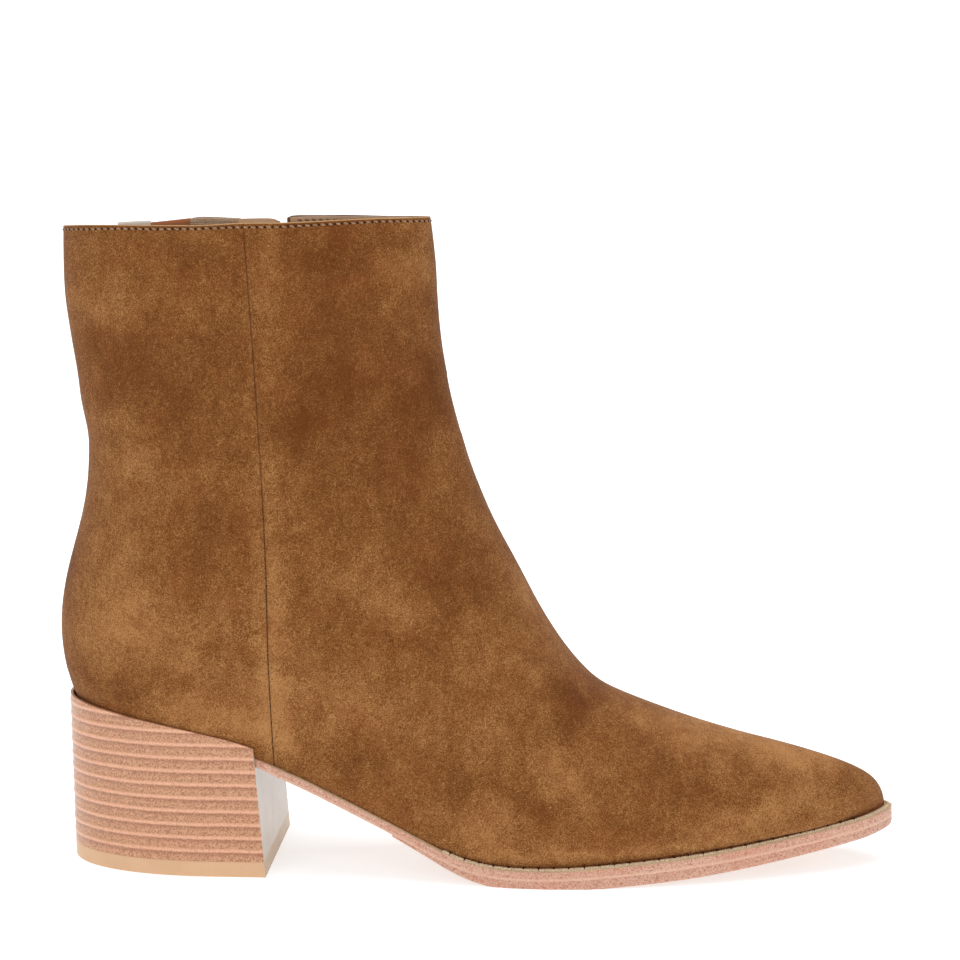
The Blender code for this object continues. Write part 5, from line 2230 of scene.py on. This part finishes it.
    def sew_slot(self) -> None:
        """Sew a row down each side of the slot and across its foot."""
        off = ZIP_LINE[0].slot_half + self.stitch_off
        foot = ZIP_LINE[0].z - self.stitch_off
        heights = np.linspace(foot, self.stitch_top, self.stitch_steps)
        down = [self.skin.side(Side.MEDIAL, self.line(z) - off, z) for z in heights[::-1]]
        width = np.linspace(self.line(foot) - off, self.line(foot) + off, self.foot_steps)
        across = [self.skin.side(Side.MEDIAL, x, foot) for x in width]
        rise = [self.skin.side(Side.MEDIAL, self.line(z) + off, z) for z in heights]
        row = StitchRow(pitch=2.7, length=2.0, width=0.55, rise=0.24)
        Piece("zip_stitches", Slot.SUEDE).finish(row.lay(down + across[1:-1] + rise), (BROWN_THREAD,))


@dataclass
class Studio:
    """Pale sweep, soft lights and the camera."""

    camera_place: tuple[float, float, float] = (165.5, -676.0, 221.5)
    azimuth: float = 3.0
    pitch: float = 8.2
    focal_pixels: float = 2137.0
    sensor: float = 36.0
    floor_half: float = 3.0
    wall_y: float = 2.2
    wall_height: float = 1.1
    sweep_radius: float = 0.8
    world: float = 0.22
    horizon: float = 0.83
    floor_colour: Colour = (0.65, 0.70, 0.74)
    floor_glow: float = 0.62
    sweep_steps: int = 16
    boot_middle: tuple[float, float, float] = (0.0, 0.0, 0.08)
    wall_middle: tuple[float, float, float] = (0.0, 1.6, 0.6)
    clip: tuple[float, float] = (0.02, 50.0)

    def build(self) -> None:
        """Set the stage."""
        self.lay_floor()
        self.hang_lights()
        self.aim_camera()
        scene = bpy.context.scene
        scene.view_settings.view_transform = "Standard"
        scene.view_settings.look = "None"

    def lay_floor(self) -> None:
        """Make the sweep of the floor into the wall behind."""
        bm = bmesh.new()
        bmesh.ops.create_grid(bm, x_segments=1, y_segments=1, size=self.floor_half)
        for vert in bm.verts:
            if vert.co.y > 0:
                vert.co.y = self.wall_y
        back = [edge for edge in bm.edges if all(vert.co.y > 0 for vert in edge.verts)]
        raised = bmesh.ops.extrude_edge_only(bm, edges=back)["geom"]
        tops = [item for item in raised if isinstance(item, bmesh.types.BMVert)]
        bmesh.ops.translate(bm, verts=tops, vec=(0.0, 0.0, self.wall_height))
        fold = [edge for edge in bm.edges if len(edge.link_faces) == 2]
        bevel(bm, fold, self.sweep_radius, self.sweep_steps)
        bmesh.ops.recalc_face_normals(bm, faces=bm.faces)
        mesh = mesh_of("floor", bm)
        mesh.shade_smooth()
        paper = bpy.data.materials.new("floor_paper")
        paper.use_nodes = True
        shader = paper.node_tree.nodes["Principled BSDF"]
        bench = Bench(paper.node_tree)
        bench.fill(shader, {"Base Color": (*self.floor_colour, 1.0), "Roughness": 0.9})
        bench.fill(shader, {"Emission Color": (1.0, 1.0, 1.0, 1.0), "Emission Strength": self.floor_glow})
        bench.fill(shader, {"Specular IOR Level": 0.1})
        mesh.materials.append(paper)
        floor = put("floor", mesh)

    def hang_lights(self) -> None:
        """Hang the soft boxes and light the room."""
        for name, place, size, power in (
            ("key", (-0.55, -1.25, 1.05), 1.1, 5.4),
            ("fill", (0.75, -1.25, 0.85), 1.0, 2.7),
            ("edge", (-1.1, 0.55, 0.55), 0.7, 2.4),
            ("top", (0.05, 0.05, 1.7), 1.6, 18.0),
            ("wall", (0.0, 0.9, 1.3), 1.2, 14.0),
        ):
            lamp = bpy.data.lights.new(name, "AREA")
            lamp.shape = "SQUARE"
            lamp.size = size
            lamp.energy = power
            obj = put(name, lamp)
            obj.location = place
            target = self.wall_middle if name == "wall" else self.boot_middle
            aim(obj, Vector(target) - Vector(place))
        world = bpy.data.worlds.new("room")
        world.use_nodes = True
        bench = Bench(world.node_tree)
        seen = bench.node("ShaderNodeLightPath").outputs["Is Camera Ray"]
        sky = world.node_tree.nodes["Background"]
        sky.inputs["Color"].default_value = (1.0, 1.0, 1.0, 1.0)
        bench.feed(sky.inputs["Strength"], bench.span(seen, 0.0, 1.0, self.world, self.horizon))
        bpy.context.scene.world = world

    def aim_camera(self) -> None:
        """Put the camera where the picture was taken from."""
        lens = bpy.data.cameras.new("camera")
        lens.sensor_width = self.sensor
        lens.lens = self.focal_pixels / IMAGE_SIDE * self.sensor
        lens.clip_start, lens.clip_end = self.clip
        camera = put("camera", lens)
        camera.location = (Vector(self.camera_place) - PLAN_CENTRE) * MM
        turn, down = math.radians(self.azimuth), math.radians(self.pitch)
        ahead = Vector((-math.sin(turn) * math.cos(down), math.cos(turn) * math.cos(down), -math.sin(down)))
        aim(camera, ahead)
        bpy.context.scene.camera = camera


def main() -> None:
    """Dress the bootie, piece by piece."""
    logging.basicConfig(level=logging.INFO, format="%(message)s")
    last = Last()
    Studio().build()
    skin = Upper(last).build()
    CollarInside(last, skin).build()
    sole = Sole(last)
    sole.build()
    Heel(last, sole).build()
    Zip(skin).build()


if __name__ == "__main__":
    main()
